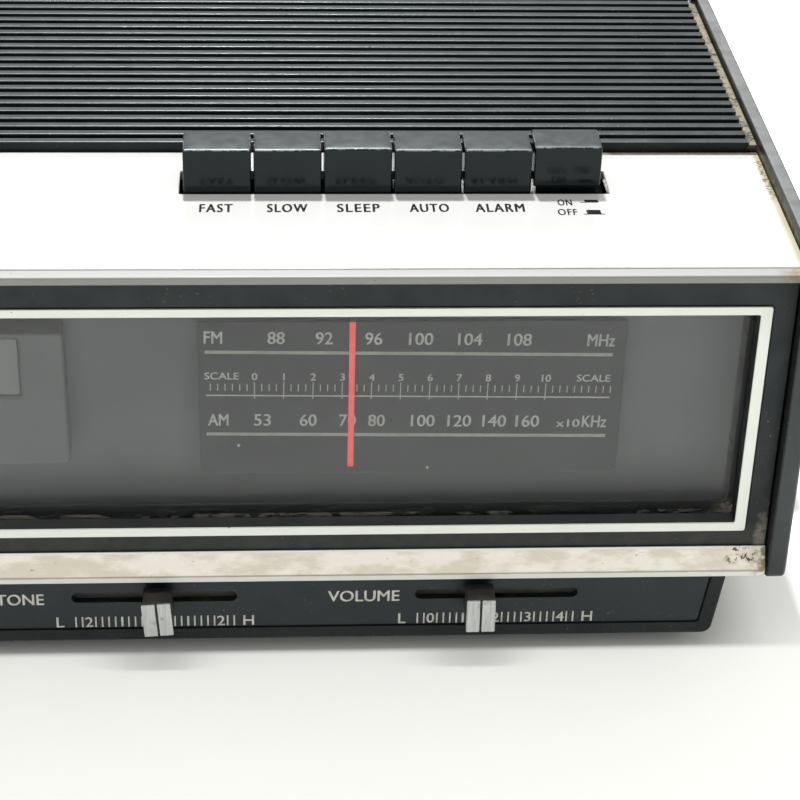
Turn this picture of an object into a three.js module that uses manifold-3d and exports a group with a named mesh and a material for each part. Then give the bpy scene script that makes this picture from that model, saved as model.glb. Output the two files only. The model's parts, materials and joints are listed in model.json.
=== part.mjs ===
// A mains clock radio of about 1980: smoked front window with a clock display and a tuning dial,
// piano keys on top, slide controls along the foot, a louvred speaker top.
//
// Units are millimetres. Every piece is drawn in the case frame:
//   x = 0 in the middle of the case, +X to the right of someone who faces it
//   y = 0 on the face of the front bezel, +Y to the back
//   z = 0 on the table, +Z up
// The whole group is moved at the end, so that the origin is the middle of the base.

import * as THREE from 'three';
import { mergeVertices } from 'three/addons/utils/BufferGeometryUtils.js';
import Module from 'manifold-3d';

const wasm = await Module();
wasm.setup();

// ---------------------------------------------------------------- driving dimensions

const GAP = 0.3; // between pieces that touch on the real radio

const CASE = { width: 286, rear: 149.2, floor: 23.3, panelTop: 101.2 };
// The cheeks are thinner above ledge, where the top panel and the louvres reach further out.
const CHEEK = {
  thick: 4.3, lipThick: 3.25, ledge: 98.6, front: -3.7, bottom: 22.8, top: 104.5, corner: 2.5, edge: 0.7,
};
const SHELL_HALF = CASE.width / 2 - CHEEK.thick - 0.4;
const TOP_HALF = CASE.width / 2 - CHEEK.lipThick - 0.25;

const TRIM_PROUD = 3.3;
const PANEL = { front: 0.8, rear: 56.7, thick: 2.3 };
const GRILLE = { front: 57.1, rear: 146.4, top: 103.5, bottom: 97.0, half: 137.3, pitch: 4.25, slat: 2.2 };

// The window in the front: the outer edge of its light frame line and its opening.
const LINE = { half: 133.1, bottom: 34.4, top: 92.2 };
const OPENING = { half: 130.65, bottom: 36.5, top: 90.25 };
const BEZEL = { depth: 9, bottom: 26.9, top: 98.9, pocketFront: 4 };
const CHASSIS = { front: 16, thick: 1.2, half: 131, bottom: 28, top: 96.5 };

const DIAL = { left: 10.9, right: 104.3, bottom: 44.5, top: 83.4, front: 9.5, thick: 1.0 };
const NEEDLE = { x: 44.3, width: 1.35, bottom: 47.0, front: 8.0, thick: 0.7 };
const CORD_Z = 89.5; // the height of the pointer rail and of its cord
const RAIL = { left: 3, right: 113, y: 11, radius: 1.0 };

const DISPLAY = { left: -115.5, right: -17.9, bottom: 47.7, top: 81.0, front: 9.0 };
const FILTER = { left: -105.6, right: -27.8, bottom: 65.5, top: 79.4 };
const LAMP = { left: 52, capLeft: 59.5, capRight: 63, y: 13.2, z: 63, radius: 2 };

// The six keys, left to right. raise is how far a key stands above its neighbours at rest.
const KEY = { first: 7.4, pitch: 15.5, width: 14.8, front: 36.6, rear: 46.3, top: 111.3, height: 13.0 };
const KEYS = [
  { name: 'key_fast', raise: 0, height: KEY.height },
  { name: 'key_slow', raise: 0, height: KEY.height },
  { name: 'key_sleep', raise: 0.35, height: KEY.height },
  { name: 'key_auto', raise: 0, height: KEY.height },
  { name: 'key_alarm', raise: 0, height: KEY.height },
  { name: 'key_power', raise: 0.7, height: 9.7 },
];
const RECESS = { left: 6.5, right: 102.5, front: 35.4, rear: 47.0 };
const SWITCH_BANK = { bottom: 62, top: 88, front: 33, rear: 50, floor: 3 };
const KEY_SKIRT = { inset: 0.6, bottom: 92 };
const KEY_STEM = { halfWidth: 2.5, halfDepth: 1.5, bottom: 70, clearance: 0.4 };

// The tray under the case carries the three slide controls, one every sliderPitch.
const TRAY = {
  front: 1.2, rear: 138, bottom: 4.3, halfTop: 131.1, halfBottom: 128.4, wall: 2.5, corner: 2.2,
};
const PLATE = { front: 1.8, thick: 2.0, lip: 3.1 };
const SLOT = { z: 16.0, height: 2.6, spare: 7.4 };
const SLIDER_PITCH = 78.05;
const SLIDERS = [
  { name: 'band', slot: -SLIDER_PITCH, knob: -SLIDER_PITCH - 6, travel: 12 },
  { name: 'tone', slot: 0, knob: 1.0, travel: 30 },
  { name: 'volume', slot: SLIDER_PITCH, knob: 73.7, travel: 30 },
];
const SLIDER_KNOB = { width: 6.5, height: 8.6, front: -7.0, cap: 0.6, rear: -0.4 };
const LEVER = { width: 3.0, height: 2.0, rear: 10 };
const POT = { front: 6.5, rear: 13.5, height: 9 };

const FOOT = { radius: 7, height: 4.0, x: 108, frontY: 16, rearY: 122 };

const BOARD_THICK = 1.6;
const MAIN_BOARD = { left: -120, right: 60, front: 24, rear: 134, bottom: 30 };
const CONTROL_BOARD = { half: 104, bottom: 9, top: 22.4 };
const CLOCK_BOARD = { left: -112, right: -22, bottom: 44, top: 84 };

// The tuning drive: the shaft pulls a cord over the drum and the two pulleys to the pointer.
const TUNING = { y: 98, z: 62, shaftRadius: 3, knobRadius: 15, knobDepth: 11 };
const KNOB_FACE = { inner: CASE.width / 2 + 0.6, outer: CASE.width / 2 + 0.6 + TUNING.knobDepth };
const DRUM = { y: 70, z: 62, radius: 21, left: 110.5, width: 5 };
const PULLEY = { radius: 4, width: 2, leftX: -7, rightX: 123, pin: 1.5 };
const RUNNING_FIT = 0.08;
const BRACKET = { thick: 2, front: 52, rear: 106, top: 78, foot: 11 };
const CAPACITOR = { width: 22, front: 57, rear: 83, bottom: 49, top: 75 };

const SPEAKER = { x: -75, y: 102, radius: 40, top: 96.5, depth: 23, magnetRadius: 21, magnetDepth: 13 };
const ROD = { left: 0, right: 100, y: 133, z: 86, radius: 4.5 };
const ANTENNA_COIL = { left: 20, length: 26, thick: 1.3 };

const VENTS = { count: 8, first: 58, pitch: 6, width: 2.5, bottom: 45, top: 75 };
const ROD_CLIP = { width: 3, reach: 7, halfHeight: 6.5, fromLeft: 6, fromRight: 10 };
const SCREW = { x: 130, z: 34, shank: 1.6, length: 10, head: 3.4, headHeight: 2.2 };
const GLAND = { x: -95, z: 36, radius: 5, flange: 7.5, bore: 3, length: 10 };

// The mains transformer: a laminated core with two windows, around a wound bobbin.
const CORE = { left: 66, right: 104, front: 108, rear: 126, bottom: 7.3, top: 45, limb: 6, leg: 12 };
const COIL = { overhang: 6.5, clearance: 0.4 };

const TURN_SEGMENTS = 24;

// ---------------------------------------------------------------- materials

const FINISH = {
  blackPlastic: { color: 0x2b2e31, roughness: 0.55, metalness: 0 },
  keyPlastic: { color: 0x26292d, roughness: 0.35, metalness: 0 },
  whitePaint: { color: 0xf2f2ee, roughness: 0.25, metalness: 0 },
  aluminium: { color: 0xc9c6bc, roughness: 0.35, metalness: 1 },
  lightLine: { color: 0xe9eddf, roughness: 0.5, metalness: 0 },
  smokedAcrylic: { color: 0x3a3f40, roughness: 0.05, metalness: 0 },
  dialBlack: { color: 0x1d2021, roughness: 0.7, metalness: 0 },
  pointerRed: { color: 0xe2343c, roughness: 0.5, metalness: 0 },
  steel: { color: 0x9a9da0, roughness: 0.35, metalness: 1 },
  silverCap: { color: 0xc4c6c6, roughness: 0.3, metalness: 1 },
  board: { color: 0x7a5a2c, roughness: 0.6, metalness: 0 },
  switchPlastic: { color: 0xb9b3a2, roughness: 0.6, metalness: 0 },
  paperCone: { color: 0x1c1b1a, roughness: 0.9, metalness: 0 },
  ferrite: { color: 0x3b3a3b, roughness: 0.5, metalness: 0 },
  copper: { color: 0xa4562c, roughness: 0.4, metalness: 1 },
  laminations: { color: 0x4d4f52, roughness: 0.5, metalness: 1 },
  rubber: { color: 0x1a1a1a, roughness: 0.9, metalness: 0 },
  lampGlass: { color: 0xe6dcc0, roughness: 0.1, metalness: 0 },
};

const clock = new THREE.Group();

// Adds one named piece, with a material of its own, and returns it.
function add(name, geometry, finish) {
  const mesh = new THREE.Mesh(geometry, new THREE.MeshStandardMaterial({ name, ...finish }));
  mesh.name = name;
  clock.add(mesh);
  return mesh;
}

// ---------------------------------------------------------------- shapes and booleans

function box(x0, x1, y0, y1, z0, z1) {
  const geometry = new THREE.BoxGeometry(x1 - x0, y1 - y0, z1 - z0);
  return geometry.translate((x0 + x1) / 2, (y0 + y1) / 2, (z0 + z1) / 2);
}

// A closed outline from points, in the order given.
function polygon(points) {
  return new THREE.Shape(points.map(([a, b]) => new THREE.Vector2(a, b)));
}

// A rectangle with rounded corners, from its low corner to its high corner.
function roundedRectangle(a0, b0, a1, b1, radius, Kind = THREE.Shape) {
  const shape = new Kind();
  shape.moveTo(a0 + radius, b0);
  shape.lineTo(a1 - radius, b0);
  shape.absarc(a1 - radius, b0 + radius, radius, -Math.PI / 2, 0);
  shape.lineTo(a1, b1 - radius);
  shape.absarc(a1 - radius, b1 - radius, radius, 0, Math.PI / 2);
  shape.lineTo(a0 + radius, b1);
  shape.absarc(a0 + radius, b1 - radius, radius, Math.PI / 2, Math.PI);
  shape.lineTo(a0, b0 + radius);
  shape.absarc(a0 + radius, b0 + radius, radius, Math.PI, Math.PI * 1.5);
  return shape;
}

function extrude(shape, depth, edge, segments = 4) {
  return new THREE.ExtrudeGeometry(shape, {
    depth: depth - 2 * edge,
    bevelEnabled: edge > 0,
    bevelThickness: edge,
    bevelSize: edge,
    bevelOffset: -edge,
    bevelSegments: 1,
    curveSegments: segments,
  }).translate(0, 0, edge);
}

// An outline in (x, z), drawn out from y0 to y1.
function extrudeAlongY(shape, y0, y1, edge = 0, segments = 4) {
  return extrude(shape, y1 - y0, edge, segments).rotateX(Math.PI / 2).translate(0, y1, 0);
}

// An outline in (y, z), drawn out from x0 to x1.
function extrudeAlongX(shape, x0, x1, edge = 0, segments = 4) {
  const turn = new THREE.Matrix4().makeBasis(
    new THREE.Vector3(0, 1, 0),
    new THREE.Vector3(0, 0, 1),
    new THREE.Vector3(1, 0, 0),
  );
  return extrude(shape, x1 - x0, edge, segments).applyMatrix4(turn).translate(x0, 0, 0);
}

// A closed profile of [radius, height] points, turned about the Z axis.
function turned(profile, segments = TURN_SEGMENTS) {
  return new THREE.LatheGeometry(polygon(profile).getPoints(), segments).rotateX(Math.PI / 2);
}

function cylinderX(radius, x0, x1, y, z, segments = TURN_SEGMENTS) {
  const geometry = new THREE.CylinderGeometry(radius, radius, x1 - x0, segments);
  return geometry.rotateZ(Math.PI / 2).translate((x0 + x1) / 2, y, z);
}

function cylinderY(radius, y0, y1, x, z, segments = TURN_SEGMENTS) {
  const geometry = new THREE.CylinderGeometry(radius, radius, y1 - y0, segments);
  return geometry.translate(x, (y0 + y1) / 2, z);
}

function cylinderZ(radius, z0, z1, x, y, segments = TURN_SEGMENTS) {
  const geometry = new THREE.CylinderGeometry(radius, radius, z1 - z0, segments);
  return geometry.rotateX(Math.PI / 2).translate(x, y, (z0 + z1) / 2);
}

function toSolid(geometry) {
  const bare = geometry.clone();
  bare.deleteAttribute('normal');
  bare.deleteAttribute('uv');
  const welded = mergeVertices(bare, 1e-4);
  const mesh = new wasm.Mesh({
    numProp: 3,
    vertProperties: Float32Array.from(welded.attributes.position.array),
    triVerts: Uint32Array.from(welded.index.array),
  });
  return new wasm.Manifold(mesh);
}

function toGeometry(solid) {
  const mesh = solid.getMesh();
  const geometry = new THREE.BufferGeometry();
  geometry.setAttribute('position', new THREE.BufferAttribute(Float32Array.from(mesh.vertProperties), 3));
  geometry.setIndex(new THREE.BufferAttribute(Uint32Array.from(mesh.triVerts), 1));
  geometry.computeVertexNormals();
  return geometry;
}

function join(...geometries) {
  return toGeometry(geometries.map(toSolid).reduce((whole, piece) => whole.add(piece)));
}

function cut(geometry, ...tools) {
  return toGeometry(tools.map(toSolid).reduce((whole, tool) => whole.subtract(tool), toSolid(geometry)));
}

// ---------------------------------------------------------------- case

function cheek(side) {
  const outline = roundedRectangle(CHEEK.front, CHEEK.bottom, CASE.rear, CHEEK.top, CHEEK.corner);
  const outer = CASE.width / 2;
  const inner = outer - CHEEK.thick;
  const lip = outer - CHEEK.lipThick;
  const rebateFront = PANEL.front - GAP;
  const rebateRear = GRILLE.rear + 0.2;
  if (side < 0) {
    const leftRebate = box(-lip, -inner + 1, rebateFront, rebateRear, CHEEK.ledge, CHEEK.top + 1);
    return cut(extrudeAlongX(outline, -outer, -inner, CHEEK.edge), leftRebate);
  }
  const rebate = box(inner - 1, lip, rebateFront, rebateRear, CHEEK.ledge, CHEEK.top + 1);
  const shaftHole = cylinderX(TUNING.shaftRadius + 0.6, inner - 1, outer + 1, TUNING.y, TUNING.z);
  return cut(extrudeAlongX(outline, inner, outer, CHEEK.edge), rebate, shaftHole);
}

function topPanel() {
  const outline = roundedRectangle(-TOP_HALF, PANEL.front, TOP_HALF, PANEL.rear, 0.4);
  const plate = extrude(outline, PANEL.thick, 0.3).translate(0, 0, CASE.panelTop - PANEL.thick);
  const recess = box(
    RECESS.left, RECESS.right, RECESS.front, RECESS.rear,
    CASE.panelTop - PANEL.thick - 1, CASE.panelTop + 1,
  );
  return cut(plate, recess);
}

// The louvres: full-width slats between two end rails, joined under their tops by cross ribs.
function louvreGrille() {
  const pieces = [];
  for (let y = GRILLE.front; y + GRILLE.slat < GRILLE.rear; y += GRILLE.pitch) {
    pieces.push(box(-GRILLE.half, GRILLE.half, y, y + GRILLE.slat, GRILLE.bottom, GRILLE.top));
  }
  const ribs = 5;
  const ribWidth = 2.4;
  const ribTop = GRILLE.bottom + 2.5;
  const lastSlat = GRILLE.front + GRILLE.pitch * (pieces.length - 1) + GRILLE.slat;
  for (let i = 0; i < ribs; i += 1) {
    const left = -GRILLE.half + 1 + ((2 * GRILLE.half - 2 - ribWidth) * i) / (ribs - 1);
    pieces.push(box(left, left + ribWidth, GRILLE.front + 0.5, lastSlat - 0.5, GRILLE.bottom + 0.5, ribTop));
  }
  const railBottom = CHEEK.ledge + GAP;
  const railTop = GRILLE.top - 0.6;
  pieces.push(box(-TOP_HALF, -GRILLE.half + 0.5, GRILLE.front, lastSlat, railBottom, railTop));
  pieces.push(box(GRILLE.half - 0.5, TOP_HALF, GRILLE.front, lastSlat, railBottom, railTop));
  return join(...pieces);
}

function upperTrim() {
  const top = CASE.panelTop + 0.2;
  const lip = 2.0;
  const edge = 0.35;
  const outline = polygon([
    [-TRIM_PROUD, top - lip],
    [PANEL.front - GAP, top - lip],
    [PANEL.front - GAP, top - edge],
    [PANEL.front - GAP - edge, top],
    [-TRIM_PROUD + edge, top],
    [-TRIM_PROUD, top - edge],
  ]);
  return extrudeAlongX(outline, -SHELL_HALF, SHELL_HALF);
}

// A sloping aluminium section that hooks under the bezel.
function lowerTrim() {
  const slopeTop = 29.5;
  const ridge = 25.6;
  const bottom = CASE.floor + GAP;
  const outline = polygon([
    [-TRIM_PROUD + 0.3, bottom],
    [TRAY.front + 2, bottom],
    [TRAY.front + 2, BEZEL.bottom - GAP],
    [-GAP, BEZEL.bottom - GAP],
    [-GAP, slopeTop],
    [-GAP - 0.4, slopeTop],
    [-TRIM_PROUD, ridge],
  ]);
  return extrudeAlongX(outline, -SHELL_HALF, SHELL_HALF);
}

function frontBezel() {
  const block = box(-SHELL_HALF, SHELL_HALF, 0, BEZEL.depth, BEZEL.bottom, BEZEL.top);
  const opening = box(-OPENING.half, OPENING.half, -1, BEZEL.depth, OPENING.bottom, OPENING.top);
  const lineSeat = box(
    -LINE.half - GAP, LINE.half + GAP, -1, 1.5,
    LINE.bottom - GAP, LINE.top + GAP,
  );
  const lensPocket = box(-134, 134, BEZEL.pocketFront, BEZEL.depth + 1, 33, 93.5);
  return cut(block, opening, lineSeat, lensPocket);
}

function frameInlay() {
  const ring = roundedRectangle(-LINE.half, LINE.bottom, LINE.half, LINE.top, 0.6);
  ring.holes.push(
    roundedRectangle(-OPENING.half, OPENING.bottom, OPENING.half, OPENING.top, 0.2, THREE.Path),
  );
  return extrudeAlongY(ring, -0.4, 1.2, 0, 2);
}

function windowLens() {
  const front = BEZEL.pocketFront + GAP;
  return extrudeAlongY(roundedRectangle(-133.6, 33.4, 133.6, 93.1, 1.5), front, front + 2);
}

function rearCover() {
  const front = GRILLE.rear + 0.4;
  const plate = box(-SHELL_HALF, SHELL_HALF, front, CASE.rear, CASE.floor, GRILLE.top);
  const vents = [];
  for (let i = 0; i < VENTS.count; i += 1) {
    const x = VENTS.first + i * VENTS.pitch;
    vents.push(box(x, x + VENTS.width, front - 1, CASE.rear + 1, VENTS.bottom, VENTS.top));
  }
  const glandHole = cylinderY(GLAND.radius + GAP, front - 1, CASE.rear + 1, GLAND.x, GLAND.z);
  const shell = cut(plate, glandHole, ...vents, ...screwHoles(front - 1));
  const clips = [ROD.left + ROD_CLIP.fromLeft, ROD.right - ROD_CLIP.fromRight].map((x) => {
    const arm = box(
      x, x + ROD_CLIP.width, ROD.y - ROD_CLIP.reach, front + 0.5,
      ROD.z - ROD_CLIP.halfHeight, ROD.z + ROD_CLIP.halfHeight,
    );
    return cut(arm, cylinderX(ROD.radius + GAP, x - 1, x + ROD_CLIP.width + 1, ROD.y, ROD.z));
  });
  return join(shell, ...clips);
}

function screwHoles(y0) {
  return [-SCREW.x, SCREW.x].map((x) => cylinderY(SCREW.shank + 0.2, y0, CASE.rear + 1, x, SCREW.z, 16));
}

// A pan-head screw along Y, with its head behind the cover.
function rearScrew() {
  const under = CASE.rear + GAP;
  const head = cylinderY(SCREW.head, under, under + SCREW.headHeight, 0, SCREW.z, 14);
  const shank = cylinderY(SCREW.shank, under - SCREW.length, under + 0.5, 0, SCREW.z, 10);
  const slot = box(-SCREW.head - 1, SCREW.head + 1, under + 1.4, under + 3, SCREW.z - 0.5, SCREW.z + 0.5);
  return cut(join(head, shank), slot);
}

function cordGland() {
  const rear = CASE.rear + GAP;
  const { length } = GLAND;
  const profile = [
    [GLAND.bore, 0],
    [GLAND.radius, 0],
    [GLAND.radius, length - 3],
    [GLAND.flange, length - 3],
    [GLAND.flange, length - 1],
    [GLAND.flange - 1.5, length],
    [GLAND.bore, length],
    [GLAND.bore, 0],
  ];
  return turned(profile, 20).rotateX(-Math.PI / 2).translate(GLAND.x, rear - length + 3, GLAND.z);
}

// ---------------------------------------------------------------- tray and controls

// The tray seen from the front: sides that lean in towards the table, and round lower corners.
function traySection(inset, top) {
  const bottom = TRAY.bottom + inset;
  const radius = Math.max(TRAY.corner - inset / 2, 0.5);
  const lean = (TRAY.halfTop - TRAY.halfBottom) / (CASE.floor - TRAY.bottom);
  const halfAt = (z) => TRAY.halfBottom - inset + lean * (z - TRAY.bottom);
  const shape = new THREE.Shape();
  shape.moveTo(-halfAt(bottom) + radius, bottom);
  shape.lineTo(halfAt(bottom) - radius, bottom);
  shape.quadraticCurveTo(halfAt(bottom), bottom, halfAt(bottom + radius), bottom + radius);
  shape.lineTo(halfAt(top), top);
  shape.lineTo(-halfAt(top), top);
  shape.lineTo(-halfAt(bottom + radius), bottom + radius);
  shape.quadraticCurveTo(-halfAt(bottom), bottom, -halfAt(bottom) + radius, bottom);
  return shape;
}

// The case floor and the tray under it are one moulding, open at the top.
function bottomShell() {
  const floor = CASE.floor;
  const tray = extrudeAlongY(traySection(0, floor + 1), TRAY.front, TRAY.rear);
  const shelf = box(-SHELL_HALF, SHELL_HALF, TRAY.front + 2.3, GRILLE.rear, floor, floor + 2.7);
  const trayFrontTop = box(-140, 140, 0, TRAY.front + 2.3, floor, floor + 5);
  const hollow = extrudeAlongY(traySection(TRAY.wall, floor + 6), TRAY.front + 4.8, TRAY.rear - TRAY.wall);
  const seatRear = PLATE.front + PLATE.thick + GAP;
  const plateSeat = extrudeAlongY(traySection(PLATE.lip - GAP, floor + 6), 0, seatRear);
  const seatLimit = box(-140, 140, -1, 8, floor - 0.2 + GAP, floor + 10);
  const controlOpening = box(-118, 118, 2, TRAY.front + 6, 9.5, floor - 1);
  const shell = cut(join(tray, shelf), trayFrontTop, hollow, cut(plateSeat, seatLimit), controlOpening);
  const posts = [[-112, 30], [-112, 128], [52, 30], [52, 128]].map(([x, y]) => (
    cylinderZ(3, TRAY.bottom + 1, MAIN_BOARD.bottom - GAP, x, y, 16)
  ));
  return join(shell, ...posts);
}

function slotOutline(middle, length) {
  const half = length / 2;
  const low = SLOT.z - SLOT.height / 2;
  const high = SLOT.z + SLOT.height / 2;
  return roundedRectangle(middle - half, low, middle + half, high, SLOT.height / 2 - 0.01, THREE.Path);
}

function slotLength(slider) {
  return slider.travel + SLOT.spare;
}

function basePlate() {
  const outline = traySection(PLATE.lip, CASE.floor - 0.2);
  SLIDERS.forEach((slider) => outline.holes.push(slotOutline(slider.slot, slotLength(slider))));
  return extrudeAlongY(outline, PLATE.front, PLATE.front + PLATE.thick);
}

// A slide control: a flat body with a groove that the lever runs in.
function slideControl(slider) {
  const half = slotLength(slider) / 2;
  const body = box(
    slider.slot - half - 3, slider.slot + half + 3, POT.front, POT.rear,
    SLOT.z - POT.height / 2, SLOT.z + POT.height / 2,
  );
  const groove = box(
    slider.slot - half, slider.slot + half, POT.front - 1, LEVER.rear + 0.8,
    SLOT.z - LEVER.height / 2 - 0.4, SLOT.z + LEVER.height / 2 + 0.4,
  );
  return cut(body, groove);
}

function sliderKnob() {
  const half = SLIDER_KNOB.width / 2;
  const outline = roundedRectangle(-half, -SLIDER_KNOB.height / 2, half, SLIDER_KNOB.height / 2, 0.3);
  const front = SLIDER_KNOB.front + SLIDER_KNOB.cap + GAP;
  const block = extrudeAlongY(outline, front, SLIDER_KNOB.rear, 0, 2);
  const lever = box(
    -LEVER.width / 2, LEVER.width / 2, SLIDER_KNOB.rear - 1, LEVER.rear,
    -LEVER.height / 2, LEVER.height / 2,
  );
  return join(block, lever);
}

// The bright cap on a knob, with the index line cut down its middle.
function knobCap() {
  const half = SLIDER_KNOB.width / 2;
  const tall = SLIDER_KNOB.height / 2;
  const front = SLIDER_KNOB.front;
  const outline = roundedRectangle(-half, -tall, half, tall, 0.3);
  const plate = extrudeAlongY(outline, front, front + SLIDER_KNOB.cap, 0, 2);
  const index = box(-0.2, 0.2, front - 1, front + 0.35, -tall - 1, tall + 1);
  return cut(plate, index);
}

function controlBoard() {
  const { half, bottom, top } = CONTROL_BOARD;
  return box(-half, half, POT.rear + GAP, POT.rear + GAP + BOARD_THICK, bottom, top);
}

function foot() {
  const profile = [
    [0, 0],
    [FOOT.radius - 0.8, 0],
    [FOOT.radius, 0.8],
    [FOOT.radius, FOOT.height],
    [0, FOOT.height],
  ];
  return turned(profile, 20);
}

// ---------------------------------------------------------------- keys

// A key: the cap, a slightly smaller skirt inside the recess, and the stem into the switch bank.
function key({ raise, height }) {
  const half = KEY.width / 2;
  const capTop = KEY.top + raise;
  const capBottom = capTop - height;
  const skirtBottom = KEY_SKIRT.bottom + raise;
  const { inset } = KEY_SKIRT;
  const outline = roundedRectangle(-half, KEY.front, half, KEY.rear, 0.8);
  const cap = extrude(outline, height, 0.35).translate(0, 0, capBottom);
  const skirt = box(
    -half + inset, half - inset, KEY.front + inset, KEY.rear - inset,
    skirtBottom, capBottom + 1,
  );
  const middle = (KEY.front + KEY.rear) / 2;
  const { halfWidth, halfDepth, bottom } = KEY_STEM;
  const stem = box(
    -halfWidth, halfWidth, middle - halfDepth, middle + halfDepth,
    bottom + raise, skirtBottom + 1,
  );
  return join(cap, skirt, stem);
}

function keyMiddle(index) {
  return KEY.first + KEY.pitch * (index + 0.5);
}

function switchBank() {
  const middle = (KEY.front + KEY.rear) / 2;
  const body = box(
    KEY.first - 1.5, KEY.first + KEY.pitch * KEYS.length + 1.5,
    SWITCH_BANK.front, SWITCH_BANK.rear, SWITCH_BANK.bottom, SWITCH_BANK.top,
  );
  const halfWidth = KEY_STEM.halfWidth + KEY_STEM.clearance;
  const halfDepth = KEY_STEM.halfDepth + KEY_STEM.clearance;
  const wells = KEYS.map((_, index) => {
    const x = keyMiddle(index);
    return box(
      x - halfWidth, x + halfWidth, middle - halfDepth, middle + halfDepth,
      SWITCH_BANK.bottom + SWITCH_BANK.floor, SWITCH_BANK.top + 1,
    );
  });
  return cut(body, ...wells);
}

// ---------------------------------------------------------------- dial and display

function dialChassis() {
  const { front, thick, half, bottom, top } = CHASSIS;
  const plate = box(-half, half, front, front + thick, bottom, top);
  const sockets = [PULLEY.leftX, PULLEY.rightX].map((x) => (
    join(
      cylinderY(PULLEY.pin, DIAL.front - 0.6, front + 0.5, x, CORD_Z, 16),
      cylinderY(PULLEY.pin + 1.2, RAIL.y + 1.6, front + 0.5, x, CORD_Z, 16),
    )
  ));
  const railEyes = [RAIL.left - 1, RAIL.right - 1].map((x) => {
    const ear = box(x, x + 2, RAIL.y - 2.6, front + 0.5, CORD_Z - 2.6, CORD_Z + 2.6);
    return cut(ear, cylinderX(RAIL.radius + GAP, x - 1, x + 3, RAIL.y, CORD_Z, 16));
  });
  const postSpots = [DIAL.left + 6, DIAL.right - 6].flatMap((x) => (
    [DIAL.bottom + 5, DIAL.top - 6].map((z) => ({ x, z }))
  ));
  const dialPosts = postSpots.map(({ x, z }) => (
    cylinderY(1.5, DIAL.front + DIAL.thick + GAP, front + 0.5, x, z, 12)
  ));
  return join(plate, ...sockets, ...railEyes, ...dialPosts);
}

function dialPlate() {
  const outline = roundedRectangle(DIAL.left, DIAL.bottom, DIAL.right, DIAL.top, 0.8);
  return extrudeAlongY(outline, DIAL.front, DIAL.front + DIAL.thick);
}

function pointerNeedle() {
  const half = NEEDLE.width / 2;
  return box(-half, half, NEEDLE.front, NEEDLE.front + NEEDLE.thick, NEEDLE.bottom, CORD_Z - 2.4);
}

function pointerCarriage() {
  const body = box(-5, 5, NEEDLE.front, RAIL.y + 2.2, CORD_Z - 2.1, CORD_Z + 2.4);
  const bore = cylinderX(RAIL.radius + RUNNING_FIT, -6, 6, RAIL.y, CORD_Z, 16);
  return cut(body, bore);
}

function pointerRail() {
  return cylinderX(RAIL.radius, RAIL.left - 2, RAIL.right + 2, RAIL.y, CORD_Z, 16);
}

// A grooved wheel of the given size with a round bore, standing on the XY plane along +Z.
function groovedWheel(radius, width, bore, groove, segments) {
  return turned([
    [bore, 0],
    [radius, 0],
    [radius - groove, width / 2],
    [radius, width],
    [bore, width],
    [bore, 0],
  ], segments);
}

function pulley() {
  const wheel = groovedWheel(PULLEY.radius, PULLEY.width, PULLEY.pin + RUNNING_FIT, 0.8, 16);
  return wheel.rotateX(-Math.PI / 2).translate(0, RAIL.y - PULLEY.width / 2 + 0.2, CORD_Z);
}

function displayHousing() {
  const block = box(
    DISPLAY.left, DISPLAY.right, DISPLAY.front, CHASSIS.front - GAP,
    DISPLAY.bottom, DISPLAY.top,
  );
  const pocket = box(
    FILTER.left - GAP, FILTER.right + GAP, DISPLAY.front - 1, DISPLAY.front + 3,
    FILTER.bottom - GAP, FILTER.top + GAP,
  );
  return cut(block, pocket);
}

function displayFilter() {
  return box(
    FILTER.left, FILTER.right, DISPLAY.front + 0.2, DISPLAY.front + 2.6,
    FILTER.bottom, FILTER.top,
  );
}

function dialLamp() {
  const glass = cylinderX(LAMP.radius, LAMP.left, LAMP.capLeft + 0.5, LAMP.y, LAMP.z, 16);
  const cap = cylinderX(LAMP.radius + 0.3, LAMP.capLeft, LAMP.capRight, LAMP.y, LAMP.z, 16);
  return join(glass, cap);
}

// ---------------------------------------------------------------- tuning drive

function tuningShaft() {
  return cylinderX(TUNING.shaftRadius, DRUM.left - 6, KNOB_FACE.outer - 2, TUNING.y, TUNING.z, 24);
}

function tuningKnob() {
  const depth = TUNING.knobDepth;
  const r = TUNING.knobRadius;
  const profile = [
    [TUNING.shaftRadius + GAP, 0],
    [r - 0.6, 0],
    [r, 0.6],
    [r - 0.5, depth - 1],
    [r - 1.5, depth],
    [0, depth],
    [0, depth - 1.5],
    [TUNING.shaftRadius + GAP, depth - 1.5],
    [TUNING.shaftRadius + GAP, 0],
  ];
  return turned(profile, 36).rotateY(Math.PI / 2).translate(KNOB_FACE.inner, TUNING.y, TUNING.z);
}

function dialDrum() {
  const { y, z, radius, left, width } = DRUM;
  const rim = turned([
    [0, 0],
    [radius, 0],
    [radius - 1, width / 2],
    [radius, width],
    [radius - 3, width],
    [radius - 3, 2],
    [0, 2],
  ], 40).rotateY(Math.PI / 2).translate(left, y, z);
  const stub = cylinderX(TUNING.shaftRadius, left - 4, left + 1, y, z, 24);
  return join(rim, stub);
}

function bracketLeft() {
  return DRUM.left - 4;
}

// An upright plate that carries the tuning shaft and the capacitor.
function tuningBracket() {
  const left = bracketLeft();
  const { thick, front, rear, top } = BRACKET;
  const bottom = TRAY.bottom + TRAY.wall + GAP;
  const plate = box(left, left + thick, front, rear, bottom, top);
  const foldedFoot = box(left - BRACKET.foot - 1, left + 1, front, rear, bottom, bottom + thick);
  const bores = [TUNING, DRUM].map(({ y, z }) => (
    cylinderX(TUNING.shaftRadius + RUNNING_FIT, left - 1, left + thick + 1, y, z, 24)
  ));
  return cut(join(plate, foldedFoot), ...bores);
}

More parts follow.
